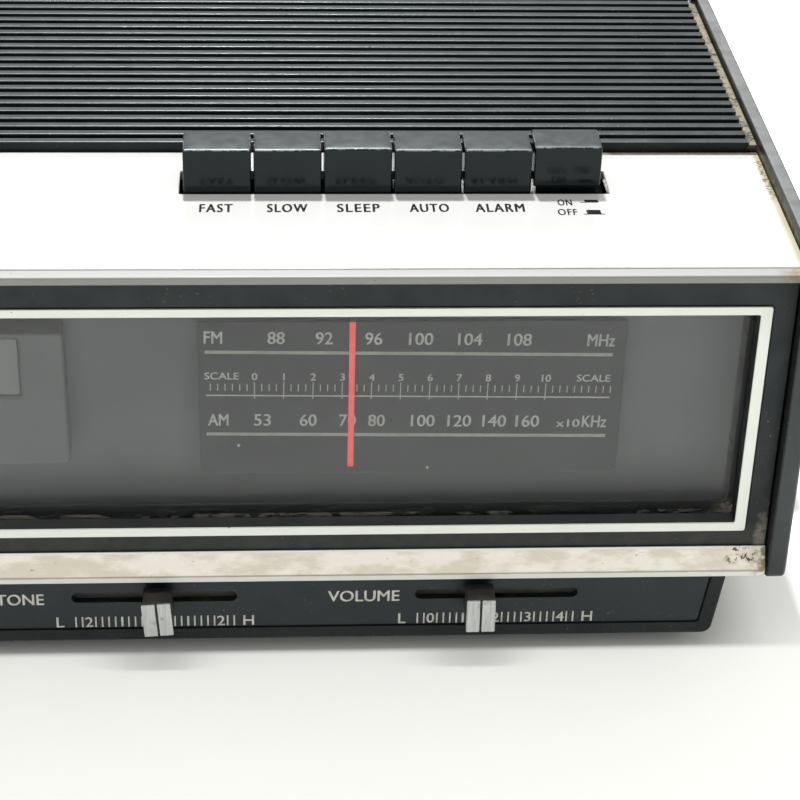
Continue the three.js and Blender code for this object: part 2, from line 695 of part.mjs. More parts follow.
function tuningCapacitor() {
  const { width, front, rear, bottom, top } = CAPACITOR;
  const right = bracketLeft() - GAP;
  const body = box(right - width, right, front, rear, bottom, top);
  const trimmers = [5, 13, 21].map((back) => (
    cylinderZ(2, top - 0.5, top + 1.2, right - width / 2, front + back, 12)
  ));
  return join(body, ...trimmers);
}

// ---------------------------------------------------------------- boards and power

// A circuit board lying flat, with its larger parts joined to it.
function mainBoard() {
  const top = MAIN_BOARD.bottom + BOARD_THICK;
  const board = box(
    MAIN_BOARD.left, MAIN_BOARD.right, MAIN_BOARD.front, MAIN_BOARD.rear,
    MAIN_BOARD.bottom, top,
  );
  const coilCans = [0, 1, 2, 3, 4].map((i) => box(-10 + i * 14, -2 + i * 14, 60, 68, top - 0.5, top + 12));
  const capacitors = [0, 1, 2].map((i) => (
    cylinderZ(5 + i, top - 0.5, top + 14 + 3 * i, -8 + i * 22, 100, 16)
  ));
  const amplifier = box(-100, -80, 40, 47, top - 0.5, top + 5);
  const heatSink = box(-103, -77, 50, 52, top - 0.5, top + 16);
  return join(board, ...coilCans, ...capacitors, amplifier, heatSink);
}

function clockBoard() {
  const front = CHASSIS.front + CHASSIS.thick + 4;
  const { left, right, bottom, top } = CLOCK_BOARD;
  const board = box(left, right, front, front + BOARD_THICK, bottom, top);
  const clockChip = box(-85, -49, front + 1.1, front + 5.6, 57, 71);
  return join(board, clockChip);
}

function transformerCore() {
  const { left, right, front, rear, bottom, top, limb, leg } = CORE;
  const middleLeg = (left + right - leg) / 2;
  const block = box(left, right, front, rear, bottom, top);
  const windows = [[left + limb, middleLeg], [middleLeg + leg, right - limb]].map(([x0, x1]) => (
    box(x0, x1, front - 1, rear + 1, bottom + limb, top - limb)
  ));
  return cut(block, ...windows);
}

function transformerCoil() {
  const { left, right, front, rear, bottom, top, limb, leg } = CORE;
  const middleLeg = (left + right - leg) / 2;
  const inset = limb + COIL.clearance;
  const winding = box(
    left + inset, right - inset, front - COIL.overhang, rear + COIL.overhang,
    bottom + inset, top - inset,
  );
  const hole = box(middleLeg - GAP, middleLeg + leg + GAP, front - GAP, rear + GAP, bottom, top);
  return cut(winding, hole);
}

function speakerFrame() {
  const r = SPEAKER.radius;
  const profile = [
    [0, -SPEAKER.depth],
    [15, -SPEAKER.depth],
    [15, -20],
    [r - 6, -2],
    [r, -2],
    [r, 0],
    [r - 5, 0],
    [13, -19],
    [0, -20.5],
  ];
  return turned(profile, 32).translate(SPEAKER.x, SPEAKER.y, SPEAKER.top);
}

function speakerCone() {
  const r = SPEAKER.radius;
  const profile = [
    [0, -13.5],
    [6, -14.5],
    [8, -18.5],
    [r - 7.5, -1.2],
    [r - 7.5, -0.2],
    [8, -17],
    [6, -13],
    [0, -12],
  ];
  return turned(profile, 32).translate(SPEAKER.x, SPEAKER.y, SPEAKER.top);
}

function speakerMagnet() {
  const top = SPEAKER.top - SPEAKER.depth - GAP;
  return cylinderZ(SPEAKER.magnetRadius, top - SPEAKER.magnetDepth, top, SPEAKER.x, SPEAKER.y);
}

function ferriteRod() {
  return cylinderX(ROD.radius, ROD.left, ROD.right, ROD.y, ROD.z, 20);
}

function antennaCoil() {
  const inner = ROD.radius + GAP;
  const outer = inner + ANTENNA_COIL.thick;
  const profile = [
    [inner, 0],
    [outer, 0],
    [outer, ANTENNA_COIL.length],
    [inner, ANTENNA_COIL.length],
    [inner, 0],
  ];
  return turned(profile, 20).rotateY(Math.PI / 2).translate(ROD.left + ANTENNA_COIL.left, ROD.y, ROD.z);
}

// ---------------------------------------------------------------- assembly

add('left_cheek', cheek(-1), FINISH.blackPlastic);
add('right_cheek', cheek(1), FINISH.blackPlastic);
add('top_panel', topPanel(), FINISH.whitePaint);
add('louvre_grille', louvreGrille(), FINISH.blackPlastic);
add('upper_trim', upperTrim(), FINISH.aluminium);
add('lower_trim', lowerTrim(), FINISH.aluminium);
add('front_bezel', frontBezel(), FINISH.blackPlastic);
add('frame_inlay', frameInlay(), FINISH.lightLine);
add('window_lens', windowLens(), FINISH.smokedAcrylic);
add('rear_cover', rearCover(), FINISH.blackPlastic);
add('cord_gland', cordGland(), FINISH.rubber);
[['rear_screw_left', -SCREW.x], ['rear_screw_right', SCREW.x]].forEach(([name, x]) => {
  add(name, rearScrew(), FINISH.steel).position.x = x;
});

add('bottom_shell', bottomShell(), FINISH.blackPlastic);
add('base_plate', basePlate(), FINISH.blackPlastic);
add('control_board', controlBoard(), FINISH.board);
SLIDERS.forEach((slider) => {
  add(`${slider.name}_control`, slideControl(slider), FINISH.switchPlastic);
  add(`${slider.name}_knob`, sliderKnob(), FINISH.keyPlastic).position.set(slider.knob, 0, SLOT.z);
  add(`${slider.name}_knob_cap`, knobCap(), FINISH.silverCap).position.set(slider.knob, 0, SLOT.z);
});
[['front', FOOT.frontY], ['rear', FOOT.rearY]].forEach(([end, y]) => {
  [['left', -FOOT.x], ['right', FOOT.x]].forEach(([side, x]) => {
    add(`foot_${end}_${side}`, foot(), FINISH.rubber).position.set(x, y, 0);
  });
});

KEYS.forEach((piece, index) => {
  add(piece.name, key(piece), FINISH.keyPlastic).position.x = keyMiddle(index);
});
add('switch_bank', switchBank(), FINISH.switchPlastic);

add('dial_chassis', dialChassis(), FINISH.dialBlack);
add('dial_plate', dialPlate(), FINISH.dialBlack);
add('pointer_needle', pointerNeedle(), FINISH.pointerRed).position.x = NEEDLE.x;
add('pointer_carriage', pointerCarriage(), FINISH.pointerRed).position.x = NEEDLE.x;
add('pointer_rail', pointerRail(), FINISH.steel);
add('left_pulley', pulley(), FINISH.switchPlastic).position.x = PULLEY.leftX;
add('right_pulley', pulley(), FINISH.switchPlastic).position.x = PULLEY.rightX;
add('display_housing', displayHousing(), FINISH.dialBlack);
add('display_filter', displayFilter(), FINISH.smokedAcrylic);
add('dial_lamp', dialLamp(), FINISH.lampGlass);

add('tuning_knob', tuningKnob(), FINISH.keyPlastic);
add('tuning_shaft', tuningShaft(), FINISH.steel);
add('dial_drum', dialDrum(), FINISH.switchPlastic);
add('tuning_bracket', tuningBracket(), FINISH.steel);
add('tuning_capacitor', tuningCapacitor(), FINISH.switchPlastic);

add('main_board', mainBoard(), FINISH.board);
add('clock_board', clockBoard(), FINISH.board);
add('transformer_core', transformerCore(), FINISH.laminations);
add('transformer_coil', transformerCoil(), FINISH.copper);
add('speaker_frame', speakerFrame(), FINISH.steel);
add('speaker_cone', speakerCone(), FINISH.paperCone);
add('speaker_magnet', speakerMagnet(), FINISH.ferrite);
add('ferrite_rod', ferriteRod(), FINISH.ferrite);
add('antenna_coil', antennaCoil(), FINISH.copper);

// Move the origin from the face of the bezel to the middle of the whole base.
const bounds = new THREE.Box3().setFromObject(clock);
const middle = bounds.getCenter(new THREE.Vector3());
clock.position.set(-middle.x, -middle.y, 0);

export default clock;
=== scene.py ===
"""A mains clock radio of about 1980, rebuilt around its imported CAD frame.

Every shape is drawn in the case frame of the CAD source, in millimetres: x = 0 in the middle of the
case, y = 0 on the bezel's face, z = 0 on the table. place() turns that into the frame's metres.
"""

import json
import math

import bpy
import bmesh
from mathutils import Matrix, Vector


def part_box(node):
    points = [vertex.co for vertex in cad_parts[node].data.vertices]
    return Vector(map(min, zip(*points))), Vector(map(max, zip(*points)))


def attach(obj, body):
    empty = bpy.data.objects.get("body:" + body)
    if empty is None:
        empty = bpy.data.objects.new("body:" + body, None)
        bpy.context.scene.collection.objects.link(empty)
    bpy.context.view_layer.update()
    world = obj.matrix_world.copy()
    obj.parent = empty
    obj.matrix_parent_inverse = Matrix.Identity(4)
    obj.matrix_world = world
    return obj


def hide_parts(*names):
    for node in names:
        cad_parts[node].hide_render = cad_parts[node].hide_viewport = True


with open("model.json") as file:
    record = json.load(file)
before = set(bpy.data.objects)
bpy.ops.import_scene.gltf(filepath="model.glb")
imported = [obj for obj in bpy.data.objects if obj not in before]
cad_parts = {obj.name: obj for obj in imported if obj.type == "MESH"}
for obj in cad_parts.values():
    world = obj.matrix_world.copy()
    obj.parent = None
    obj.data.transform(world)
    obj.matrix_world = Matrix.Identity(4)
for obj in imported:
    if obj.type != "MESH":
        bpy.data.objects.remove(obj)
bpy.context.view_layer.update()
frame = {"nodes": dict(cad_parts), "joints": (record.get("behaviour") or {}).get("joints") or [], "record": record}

# ---------------------------------------------------------------- the case frame

MM = 0.001
CASE_X = (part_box("left_cheek")[0].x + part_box("right_cheek")[1].x) / 2
CASE_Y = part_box("front_bezel")[0].y


def place(point):
    """A case-frame point in millimetres as a point of the shared frame in metres."""
    return Vector((CASE_X + point[0] * MM, CASE_Y + point[1] * MM, point[2] * MM))


class Extent:
    """Where a CAD node starts and ends along each axis, in the case frame."""

    def __init__(self, node):
        low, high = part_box(node)
        self.x0, self.x1 = (low.x - CASE_X) / MM, (high.x - CASE_X) / MM
        self.y0, self.y1 = (low.y - CASE_Y) / MM, (high.y - CASE_Y) / MM
        self.z0, self.z1 = low.z / MM, high.z / MM

    @property
    def middle(self):
        return (self.x0 + self.x1) / 2, (self.y0 + self.y1) / 2, (self.z0 + self.z1) / 2

    @property
    def front(self):
        """The corners as they are seen from the front."""
        return rectangle(self.x0, self.z0, self.x1, self.z1)


def put(name, data):
    """A new object in the scene."""
    made = bpy.data.objects.new(name, data)
    bpy.context.scene.collection.objects.link(made)
    return made


# ---------------------------------------------------------------- camera

CAMERA = {"place": (25.5, -406.8, 322.1), "yaw": 4.06, "pitch": 31.78, "roll": 1.77, "lens": 100.3}


def make_camera():
    data = bpy.data.cameras.new("camera")
    data.sensor_width = 36
    data.lens = CAMERA["lens"]
    data.clip_start = 0.01
    data.clip_end = 20
    camera = put("camera", data)
    camera.matrix_world = (
        Matrix.Translation(place(CAMERA["place"]))
        @ Matrix.Rotation(-math.radians(CAMERA["yaw"]), 4, "Z")
        @ Matrix.Rotation(math.radians(90 - CAMERA["pitch"]), 4, "X")
        @ Matrix.Rotation(math.radians(CAMERA["roll"]), 4, "Z")
    )
    bpy.context.scene.camera = camera


make_camera()

# ---------------------------------------------------------------- outlines

ARC_STEPS = 5
AXES = {
    "x": lambda a, b, c: (c, a, b),
    "y": lambda a, b, c: (a, c, b),
    "z": lambda a, b, c: (a, b, c),
}


def rectangle(a0, b0, a1, b1):
    """The corners of a rectangle, anticlockwise from the low one."""
    return [(a0, b0), (a1, b0), (a1, b1), (a0, b1)]


def rounded(corners, radius, inset=0.0, steps=ARC_STEPS):
    """The outline through these anticlockwise corners, each turned by an arc, moved inwards by inset."""
    radii = radius if isinstance(radius, (list, tuple)) else [radius] * len(corners)
    outline = []
    for index, corner in enumerate(corners):
        here = Vector(corner)
        before = (here - Vector(corners[index - 1])).normalized()
        after = (Vector(corners[(index + 1) % len(corners)]) - here).normalized()
        normal_before = Vector((-before.y, before.x))
        normal_after = Vector((-after.y, after.x))
        turn = math.atan2(before.cross(after), before.dot(after))
        side = 1 if turn >= 0 else -1
        vertex = here + (normal_before + normal_after) * (inset / (1 + normal_before.dot(normal_after)))
        bend = max(radii[index] - side * inset, 0.01)
        start = vertex - before * bend * math.tan(abs(turn) / 2)
        centre = start + normal_before * bend * side
        for step in range(steps + 1):
            spoke = start - centre
            spoke.rotate(Matrix.Rotation(turn * step / steps, 2))
            outline.append(tuple(centre + spoke))
    return outline


def circle(a, b, radius, count=48):
    """A round outline that starts where rounded(rectangle) starts, so that the two can be joined."""
    angles = [math.pi + 2 * math.pi * (i + 0.5) / count for i in range(count)]
    return [(a + radius * math.cos(t), b + radius * math.sin(t)) for t in angles]


def rounding(low, high, edge, steps=3):
    """(inset, position) pairs that carry an outline from low to high with both ends rounded."""
    turns = [math.radians(90 * i / steps) for i in range(steps + 1)]
    start = [(edge * (1 - math.sin(t)), edge * (1 - math.cos(t))) for t in turns]
    return [(inset, low + rise) for inset, rise in start] + [
        (inset, high - rise) for inset, rise in reversed(start)
    ]


def carried(corners, radius, levels, axis, steps=ARC_STEPS):
    """An outline's loops in space, one for each (inset, position) pair along an axis."""
    to_space = AXES[axis]
    return [[to_space(a, b, at) for a, b in rounded(corners, radius, inset, steps)] for inset, at in levels]


# ---------------------------------------------------------------- meshes

SHARP_ANGLE = math.radians(42)
AXIS = 0.01  # the radius at which a turned profile starts and ends


class Shape:
    """Points in the case frame and the faces between them. A piece is made from one Shape."""

    def __init__(self):
        self.points = []
        self.faces = []

    def add(self, points, faces):
        first = len(self.points)
        self.points += [tuple(p) for p in points]
        self.faces += [[first + i for i in face] for face in faces]
        return self

    def loft(self, loops, ring=False):
        """Walls between loops of equal length. A ring joins the last loop to the first."""
        count = len(loops[0])
        rows = len(loops)
        faces = []
        for row in range(rows if ring else rows - 1):
            following = (row + 1) % rows
            for i in range(count):
                j = (i + 1) % count
                faces.append([row * count + i, row * count + j, following * count + j, following * count + i])
        if not ring:
            faces.append(list(range(count))[::-1])
            faces.append([(rows - 1) * count + i for i in range(count)])
        return self.add([p for loop in loops for p in loop], faces)

    def prism(self, corners, low, high, axis, corner=0.2, edge=0.2, arc=ARC_STEPS):
        """An outline drawn out along an axis, with its corners and both its ends rounded."""
        return self.loft(carried(corners, corner, rounding(low, high, edge), axis, arc))

    def block(self, x0, x1, y0, y1, z0, z1, axis="z", corner=0.2, edge=0.2):
        """A box with rounded edges, drawn out along an axis."""
        spans = {"x": (y0, z0, y1, z1, x0, x1), "y": (x0, z0, x1, z1, y0, y1), "z": (x0, y0, x1, y1, z0, z1)}
        a0, b0, a1, b1, low, high = spans[axis]
        return self.prism(rectangle(a0, b0, a1, b1), low, high, axis, corner, edge, arc=3)

    def turned(self, profile, axis, centre, segments=64, ring=False):
        """A profile of (radius, position) pairs turned about an axis through centre.

        A ring's profile closes on itself. The others start and end on the axis.
        """
        to_space = AXES[axis]
        loops = []
        for radius, at in profile:
            loops.append([
                tuple(c + d for c, d in zip(centre, to_space(
                    radius * math.cos(2 * math.pi * i / segments),
                    radius * math.sin(2 * math.pi * i / segments), at)))
                for i in range(segments)
            ])
        return self.loft(loops, ring)


def finish_mesh(data):
    """Joins touching points, turns the faces outwards and shades round edges smooth."""
    work = bmesh.new()
    work.from_mesh(data)
    bmesh.ops.remove_doubles(work, verts=work.verts, dist=0.002 * MM)
    bmesh.ops.recalc_face_normals(work, faces=work.faces)
    work.to_mesh(data)
    work.free()
    data.shade_smooth()
    data.set_sharp_from_angle(angle=SHARP_ANGLE)


def make(name, shape, finish, body="case", replaces=()):
    """One piece from a Shape: its object, its finish by name, what it rides on and what it stands for."""
    data = bpy.data.meshes.new(name)
    data.from_pydata([place(p) for p in shape.points], [], shape.faces)
    finish_mesh(data)
    piece = put(name, data)
    data.materials.append(FINISHES[finish])
    normals = piece.modifiers.new("face_normals", "WEIGHTED_NORMAL")
    normals.keep_sharp = True
    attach(piece, body)
    if replaces:
        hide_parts(*replaces)
    return piece


def filled(curve):
    """The points and faces of a curve's mesh. The curve itself is removed."""
    holder = put("outline", curve)
    graph = bpy.context.evaluated_depsgraph_get()
    data = bpy.data.meshes.new_from_object(holder.evaluated_get(graph))
    points = [tuple(v.co) for v in data.vertices]
    faces = [list(p.vertices) for p in data.polygons]
    bpy.data.objects.remove(holder)
    bpy.data.meshes.remove(data)
    bpy.data.curves.remove(curve)
    return points, faces


def sheet_shape(outlines, low, high, axis, edge):
    """A flat piece with round-edged holes: the first outline is its rim, the others are its holes."""
    curve = bpy.data.curves.new("outline", "CURVE")
    curve.dimensions = "2D"
    curve.fill_mode = "BOTH"
    curve.extrude = (high - low) / 2 - edge
    curve.bevel_depth = edge
    curve.bevel_resolution = 2
    curve.offset = -edge
    for number, outline in enumerate(outlines):
        points = outline if number == 0 else outline[::-1]
        spline = curve.splines.new("POLY")
        spline.points.add(len(points) - 1)
        for point, (a, b) in zip(spline.points, points):
            point.co = (a, b, 0, 1)
        spline.use_cyclic_u = True
    points, faces = filled(curve)
    to_space = AXES[axis]
    middle = (low + high) / 2
    return Shape().add([to_space(a, b, middle + c) for a, b, c in points], faces)


# ---------------------------------------------------------------- lettering

LETTER_THICKNESS = 0.02


def letters(words, height, width=None, spacing=1.0):
    """Flat letters as (points, faces) in (along, up, out) millimetres, centred, height tall in all."""
    curve = bpy.data.curves.new("words", "FONT")
    curve.body = words
    curve.size = 10
    curve.space_character = spacing
    curve.extrude = 0.5
    curve.resolution_u = 4
    points, faces = filled(curve)
    (a0, a1), (b0, b1) = [(min(p[i] for p in points), max(p[i] for p in points)) for i in (0, 1)]
    up = height / (b1 - b0)
    along = width / (a1 - a0) if width else up
    middle = (a0 + a1) / 2, (b0 + b1) / 2
    return [((a - middle[0]) * along, (b - middle[1]) * up, c * LETTER_THICKNESS) for a, b, c in points], faces


class Print(Shape):
    """Ink on a flat face. (along, up) is turned by tilt about an anchor, and ink stands just off the face."""

    INK = 0.03

    def __init__(self, to_space, anchor=(0, 0), tilt=0.0):
        super().__init__()
        self.to_space = to_space
        self.anchor = anchor
        self.turn = Matrix.Rotation(math.radians(tilt), 2)

    def ink(self, points, faces):
        """Points as (along, up, out)."""
        turned = []
        for along, up, out in points:
            flat = self.turn @ Vector((along, up))
            turned.append(self.to_space(self.anchor[0] + flat.x, self.anchor[1] + flat.y, out))
        return self.add(turned, faces)

    def words(self, text, along, up, height, width=None, weight=0.0, spacing=1.0):
        """Letters. A weight prints them twice, that many millimetres apart, for bolder strokes."""
        points, faces = letters(text, height, width and width - weight, spacing)
        layer = 0.004
        for number, shift in enumerate((-weight / 2, weight / 2) if weight else (0,)):
            at = along + shift, up + shift / 2, number * layer
            self.ink([(a + at[0], b + at[1], c + at[2]) for a, b, c in points], faces)
        return self

    def bar(self, a0, a1, b0, b1, lean=0.0):
        """A filled strip. lean moves its upper edge along."""
        half = self.INK / 2
        flat = [(a0, b0), (a1, b0), (a1 + lean, b1), (a0 + lean, b1)]
        points = [(a, b, out) for out in (-half, half) for a, b in flat]
        faces = [[3, 2, 1, 0], [4, 5, 6, 7], [0, 1, 5, 4], [1, 2, 6, 5], [2, 3, 7, 6], [3, 0, 4, 7]]
        return self.ink(points, faces)


def on_front(node):
    """Places ink on the front face of a node."""
    face = Extent(node).y0 - 0.02
    return lambda a, b, out: (a, face - out, b)


# ---------------------------------------------------------------- finishes

class Finish:
    """One procedural material. noise, ramp, blend and the like add nodes and return an output socket."""

    def __init__(self, name, **constants):
        self.material = bpy.data.materials.new(name)
        self.material.use_nodes = True
        self.tree = self.material.node_tree
        self.shader = self.tree.nodes["Principled BSDF"]
        self.space = self.tree.nodes.new("ShaderNodeTexCoord").outputs["Object"]
        self.axes = None
        for key, value in constants.items():
            self.set(key.replace("_", " ").title().replace("Ior", "IOR"), value)

    def set(self, socket, value):
        """Gives a shader socket a value, or links another node's output to it."""
        self.give(self.shader.inputs[socket], value)

    def give(self, socket, value):
        if isinstance(value, bpy.types.NodeSocket):
            self.tree.links.new(value, socket)
        elif isinstance(value, (tuple, list)) and len(value) == 3 and socket.type == "RGBA":
            socket.default_value = (*value, 1)
        else:
            socket.default_value = value

    def node(self, kind, **settings):
        made = self.tree.nodes.new("ShaderNode" + kind)
        for key, value in settings.items():
            setattr(made, key, value)
        return made

    def stretched(self, x, y, z):
        """The object's own coordinates, scaled along each axis."""
        made = self.node("Mapping")
        self.give(made.inputs["Vector"], self.space)
        made.inputs["Scale"].default_value = (x, y, z)
        return made.outputs["Vector"]

    def noise(self, size, detail=3.0, rough=0.55, along=None):
        """Noise whose features are about size millimetres across."""
        made = self.node("TexNoise")
        self.give(made.inputs["Vector"], along or self.space)
        made.inputs["Scale"].default_value = 1 / (size * MM)
        made.inputs["Detail"].default_value = detail
        made.inputs["Roughness"].default_value = rough
        return made.outputs["Fac"]

    def ramp(self, value, low, high, out_low=0.0, out_high=1.0):
        made = self.node("MapRange", interpolation_type="SMOOTHSTEP")
        self.give(made.inputs["Value"], value)
        made.inputs["From Min"].default_value = low
        made.inputs["From Max"].default_value = high
        made.inputs["To Min"].default_value = out_low
        made.inputs["To Max"].default_value = out_high
        return made.outputs["Result"]

    def math(self, operation, first, second=0.0):
        made = self.node("Math", operation=operation)
        self.give(made.inputs[0], first)
        self.give(made.inputs[1], second)
        return made.outputs[0]

    def times(self, first, *others):
        """The product of two or more values."""
        for other in others:
            first = self.math("MULTIPLY", first, other)
        return first

    def plus(self, first, second):
        return self.math("ADD", first, second)

    def patches(self, size, detail, low, high, out_low=0.0, out_high=1.0):
        """Noise about size millimetres across, spread out between two levels."""
        return self.ramp(self.noise(size, detail), low, high, out_low, out_high)

    def blend(self, share, first, second):
        """A colour between two colours."""
        made = self.node("Mix", data_type="RGBA")
        self.give(made.inputs[0], share)
        self.give(made.inputs[6], first)
        self.give(made.inputs[7], second)
        return made.outputs[2]

    def across(self, axis, low, high):
        """0 at low and 1 at high along a case axis, in millimetres. low may be above high."""
        if self.axes is None:
            self.axes = self.node("SeparateXYZ")
            self.give(self.axes.inputs[0], self.space)
        index = "XYZ".index(axis)
        origin = (CASE_X, CASE_Y, 0)[index]
        first, last = origin + low * MM, origin + high * MM
        if first < last:
            return self.ramp(self.axes.outputs[index], first, last)
        return self.ramp(self.axes.outputs[index], last, first, 1.0, 0.0)

    def facing(self, axis, low, high):
        """0 where the surface's own normal has low along an axis, 1 where it has high."""
        geometry = self.node("NewGeometry")
        parts = self.node("SeparateXYZ")
        self.give(parts.inputs[0], geometry.outputs["Normal"])
        return self.ramp(parts.outputs["XYZ".index(axis)], low, high)

    def bump(self, *layers):
        """Adds bumps. Each layer is (height socket, strength, depth in millimetres)."""
        previous = None
        for height, strength, depth in layers:
            made = self.node("Bump")
            made.inputs["Strength"].default_value = strength
            made.inputs["Distance"].default_value = depth * MM
            self.give(made.inputs["Height"], height)
            if previous:
                self.give(made.inputs["Normal"], previous)
            previous = made.outputs["Normal"]
        self.give(self.shader.inputs["Normal"], previous)

    def coat(self, colour, wear, rough, *layers):
        """Sets the colour, a roughness that follows wear between two values, and the bumps."""
        self.set("Base Color", colour)
        self.set("Roughness", self.ramp(wear, 0.3, 0.7, *rough))
        self.bump(*layers)
        return self.material


DUST = (0.20, 0.175, 0.125)
COOL = (0.87, 0.97, 1.0)
NEEDLE_TOP = 84.2


def plastic(name, dark, light, rough=(0.36, 0.52), grain=0.35, depth=0.02, gloss=(0.25, 0.5), dirt=None,
            top_sheen=None):
    """Moulded plastic: fine grain, slow changes of tone and gloss, a few specks of dust.

    gloss is the reflectance of upright faces and of faces that look up. The last argument is a painted
    sheen: the colour given to faces that look up, in patches.
    """
    f = Finish(name)
    colour = f.blend(f.patches(14, 4, 0.35, 0.65), dark, light)
    # Painted sheen: faces that look up get a lighter colour, in patches, as light falls on them.
    if top_sheen:
        patchy = f.patches(5, 4, 0.3, 0.7, 0.7, 1.0)
        colour = f.blend(f.times(f.facing("Z", 0.3, 0.9), patchy), colour, top_sheen)
    fleck = f.times(f.patches(0.6, 1, 0.70, 0.76), f.patches(18, 2, 0.48, 0.62))
    colour = f.blend(f.times(fleck, 0.5), colour, DUST)
    if dirt:
        share, dirt_colour = dirt(f)
        colour = f.blend(share, colour, dirt_colour)
    f.set("Specular IOR Level", f.ramp(f.facing("Z", 0.2, 0.9), 0, 1, *gloss))
    f.set("Specular Tint", COOL)
    bumps = (f.noise(grain, 2), 0.5, depth), (f.noise(30, 2), 0.25, 0.15)
    return f.coat(colour, f.noise(6, 5), rough, *bumps)


def corner_dust(f):
    """Beige dust where the front meets the right cheek and the lower trim."""
    near_cheek = f.across("X", 133.2, 137.5)
    near_trim = f.across("Z", 46.0, 27.0)
    both = f.times(near_cheek, near_trim)
    broken = f.times(f.plus(both, f.times(near_cheek, 0.3)), f.noise(1.6, 4))
    film = f.times(f.across("Z", 37, 34), f.patches(3, 4, 0.3, 0.7, 0.08, 0.16))
    return f.math("MAXIMUM", film, f.ramp(broken, 0.16, 0.55)), (0.13, 0.118, 0.092)


def cheek_dust(f):
    """Dust along the foot of the cheek's inner face, where the top panel and the grille meet it."""
    right = f.times(f.across("X", 130, 131), f.across("X", 140.1, 139.8))
    inner = f.times(right, f.across("Y", 0.5, 1.5))
    low = f.times(f.across("Z", 103.0, 101.8), f.across("Z", 100.4, 100.8))
    patch = f.times(inner, low, f.patches(2.2, 4, 0.3, 0.6))
    return patch, (0.12, 0.10, 0.065)


def rail_dust(f):
    """The end rails of the louvres, thick with beige dust between dark spots."""
    end = f.across("X", 137.2, 137.6)
    top = f.across("Z", 100.5, 102.5)
    spotty = f.ramp(f.noise(1.7, 4, 0.6), 0.36, 0.52)
    share = f.times(end, top, spotty)
    return share, f.blend(f.noise(1.0, 3), (0.10, 0.085, 0.055), (0.19, 0.16, 0.11))


def white_panel_finish():
    """Glossy light sheet, yellowed and darkened along the right cheek, partly dirt and partly painted shade where
    it meets the cheek, with dirt where the louvres meet it.
    """
    panel = Extent("top_panel")
    f = Finish("white_panel", ior=1.5, coat_weight=0.3, coat_roughness=0.08)
    colour = f.blend(f.noise(25, 3), (0.335, 0.335, 0.327), (0.365, 0.365, 0.357))
    # Yellowed by dirt and darkened by painted shade towards the right cheek, where the panel meets it.
    edge = f.plus(f.across("X", panel.x1 - 3.6, panel.x1 - 0.4), f.times(f.noise(5, 3), 0.4))
    colour = f.blend(f.ramp(edge, 0.75, 1.3), colour, (0.30, 0.265, 0.17))
    along = f.times(f.across("Y", 30, 36), f.across("Y", 56, 50))
    specks = f.plus(f.across("X", panel.x1 - 4.5, panel.x1 - 1.0), f.noise(1.1, 4, 0.65))
    specks = f.times(f.ramp(specks, 1.42, 1.6), along)
    colour = f.blend(specks, colour, (0.10, 0.085, 0.05))
    foot = f.plus(f.across("Y", panel.y1 - 2.2, panel.y1 - 1.0), f.times(f.noise(2.5, 4), 0.4))
    strip = f.times(f.ramp(foot, 0.5, 0.8), f.across("X", 98, 106))
    colour = f.blend(strip, colour, f.blend(f.noise(2.0, 3), (0.050, 0.040, 0.032), (0.10, 0.083, 0.068)))
    bumps = (f.noise(40, 2), 0.15, 0.2), (f.noise(1.2, 3), 0.05, 0.01)
    return f.coat(colour, f.noise(9, 5), (0.14, 0.24), *bumps)


def upper_trim_finish():
    trim = Extent("upper_trim")
    f = Finish("upper_trim_aluminium", metallic=0.3, specular_ior_level=0.2)
    streaks = f.noise(1.2, 4, 0.6, f.stretched(0.02, 1, 1))
    # Painted light and shade: one metal, given a lighter colour on its top facet and a darker one on its front
    # facet.
    front = f.facing("Y", -0.35, -0.9)
    lit_top_colour = f.blend(streaks, (0.205, 0.205, 0.195), (0.235, 0.235, 0.225))
    shaded_front_colour = f.blend(streaks, (0.17, 0.17, 0.158), (0.21, 0.21, 0.195))
    # Painted shade: a dark line along the back of the top facet, where the trim meets the panel.
    seam_shade = f.times(f.across("Y", trim.y1 - 0.8, trim.y1 - 0.5), 0.8)
    colour = f.blend(front, f.blend(seam_shade, lit_top_colour, (0.03, 0.03, 0.027)), shaded_front_colour)
    spots = f.ramp(f.noise(1.1, 3, 0.6), 0.68, 0.76)
    colour = f.blend(spots, colour, (0.12, 0.10, 0.07))
    end = f.times(f.across("X", 131, 138), f.patches(2, 3, 0.35, 0.6))
    colour = f.blend(end, colour, (0.15, 0.12, 0.08))
    return f.coat(colour, streaks, (0.5, 0.62), (streaks, 0.25, 0.02), (f.noise(12, 3), 0.15, 0.05))


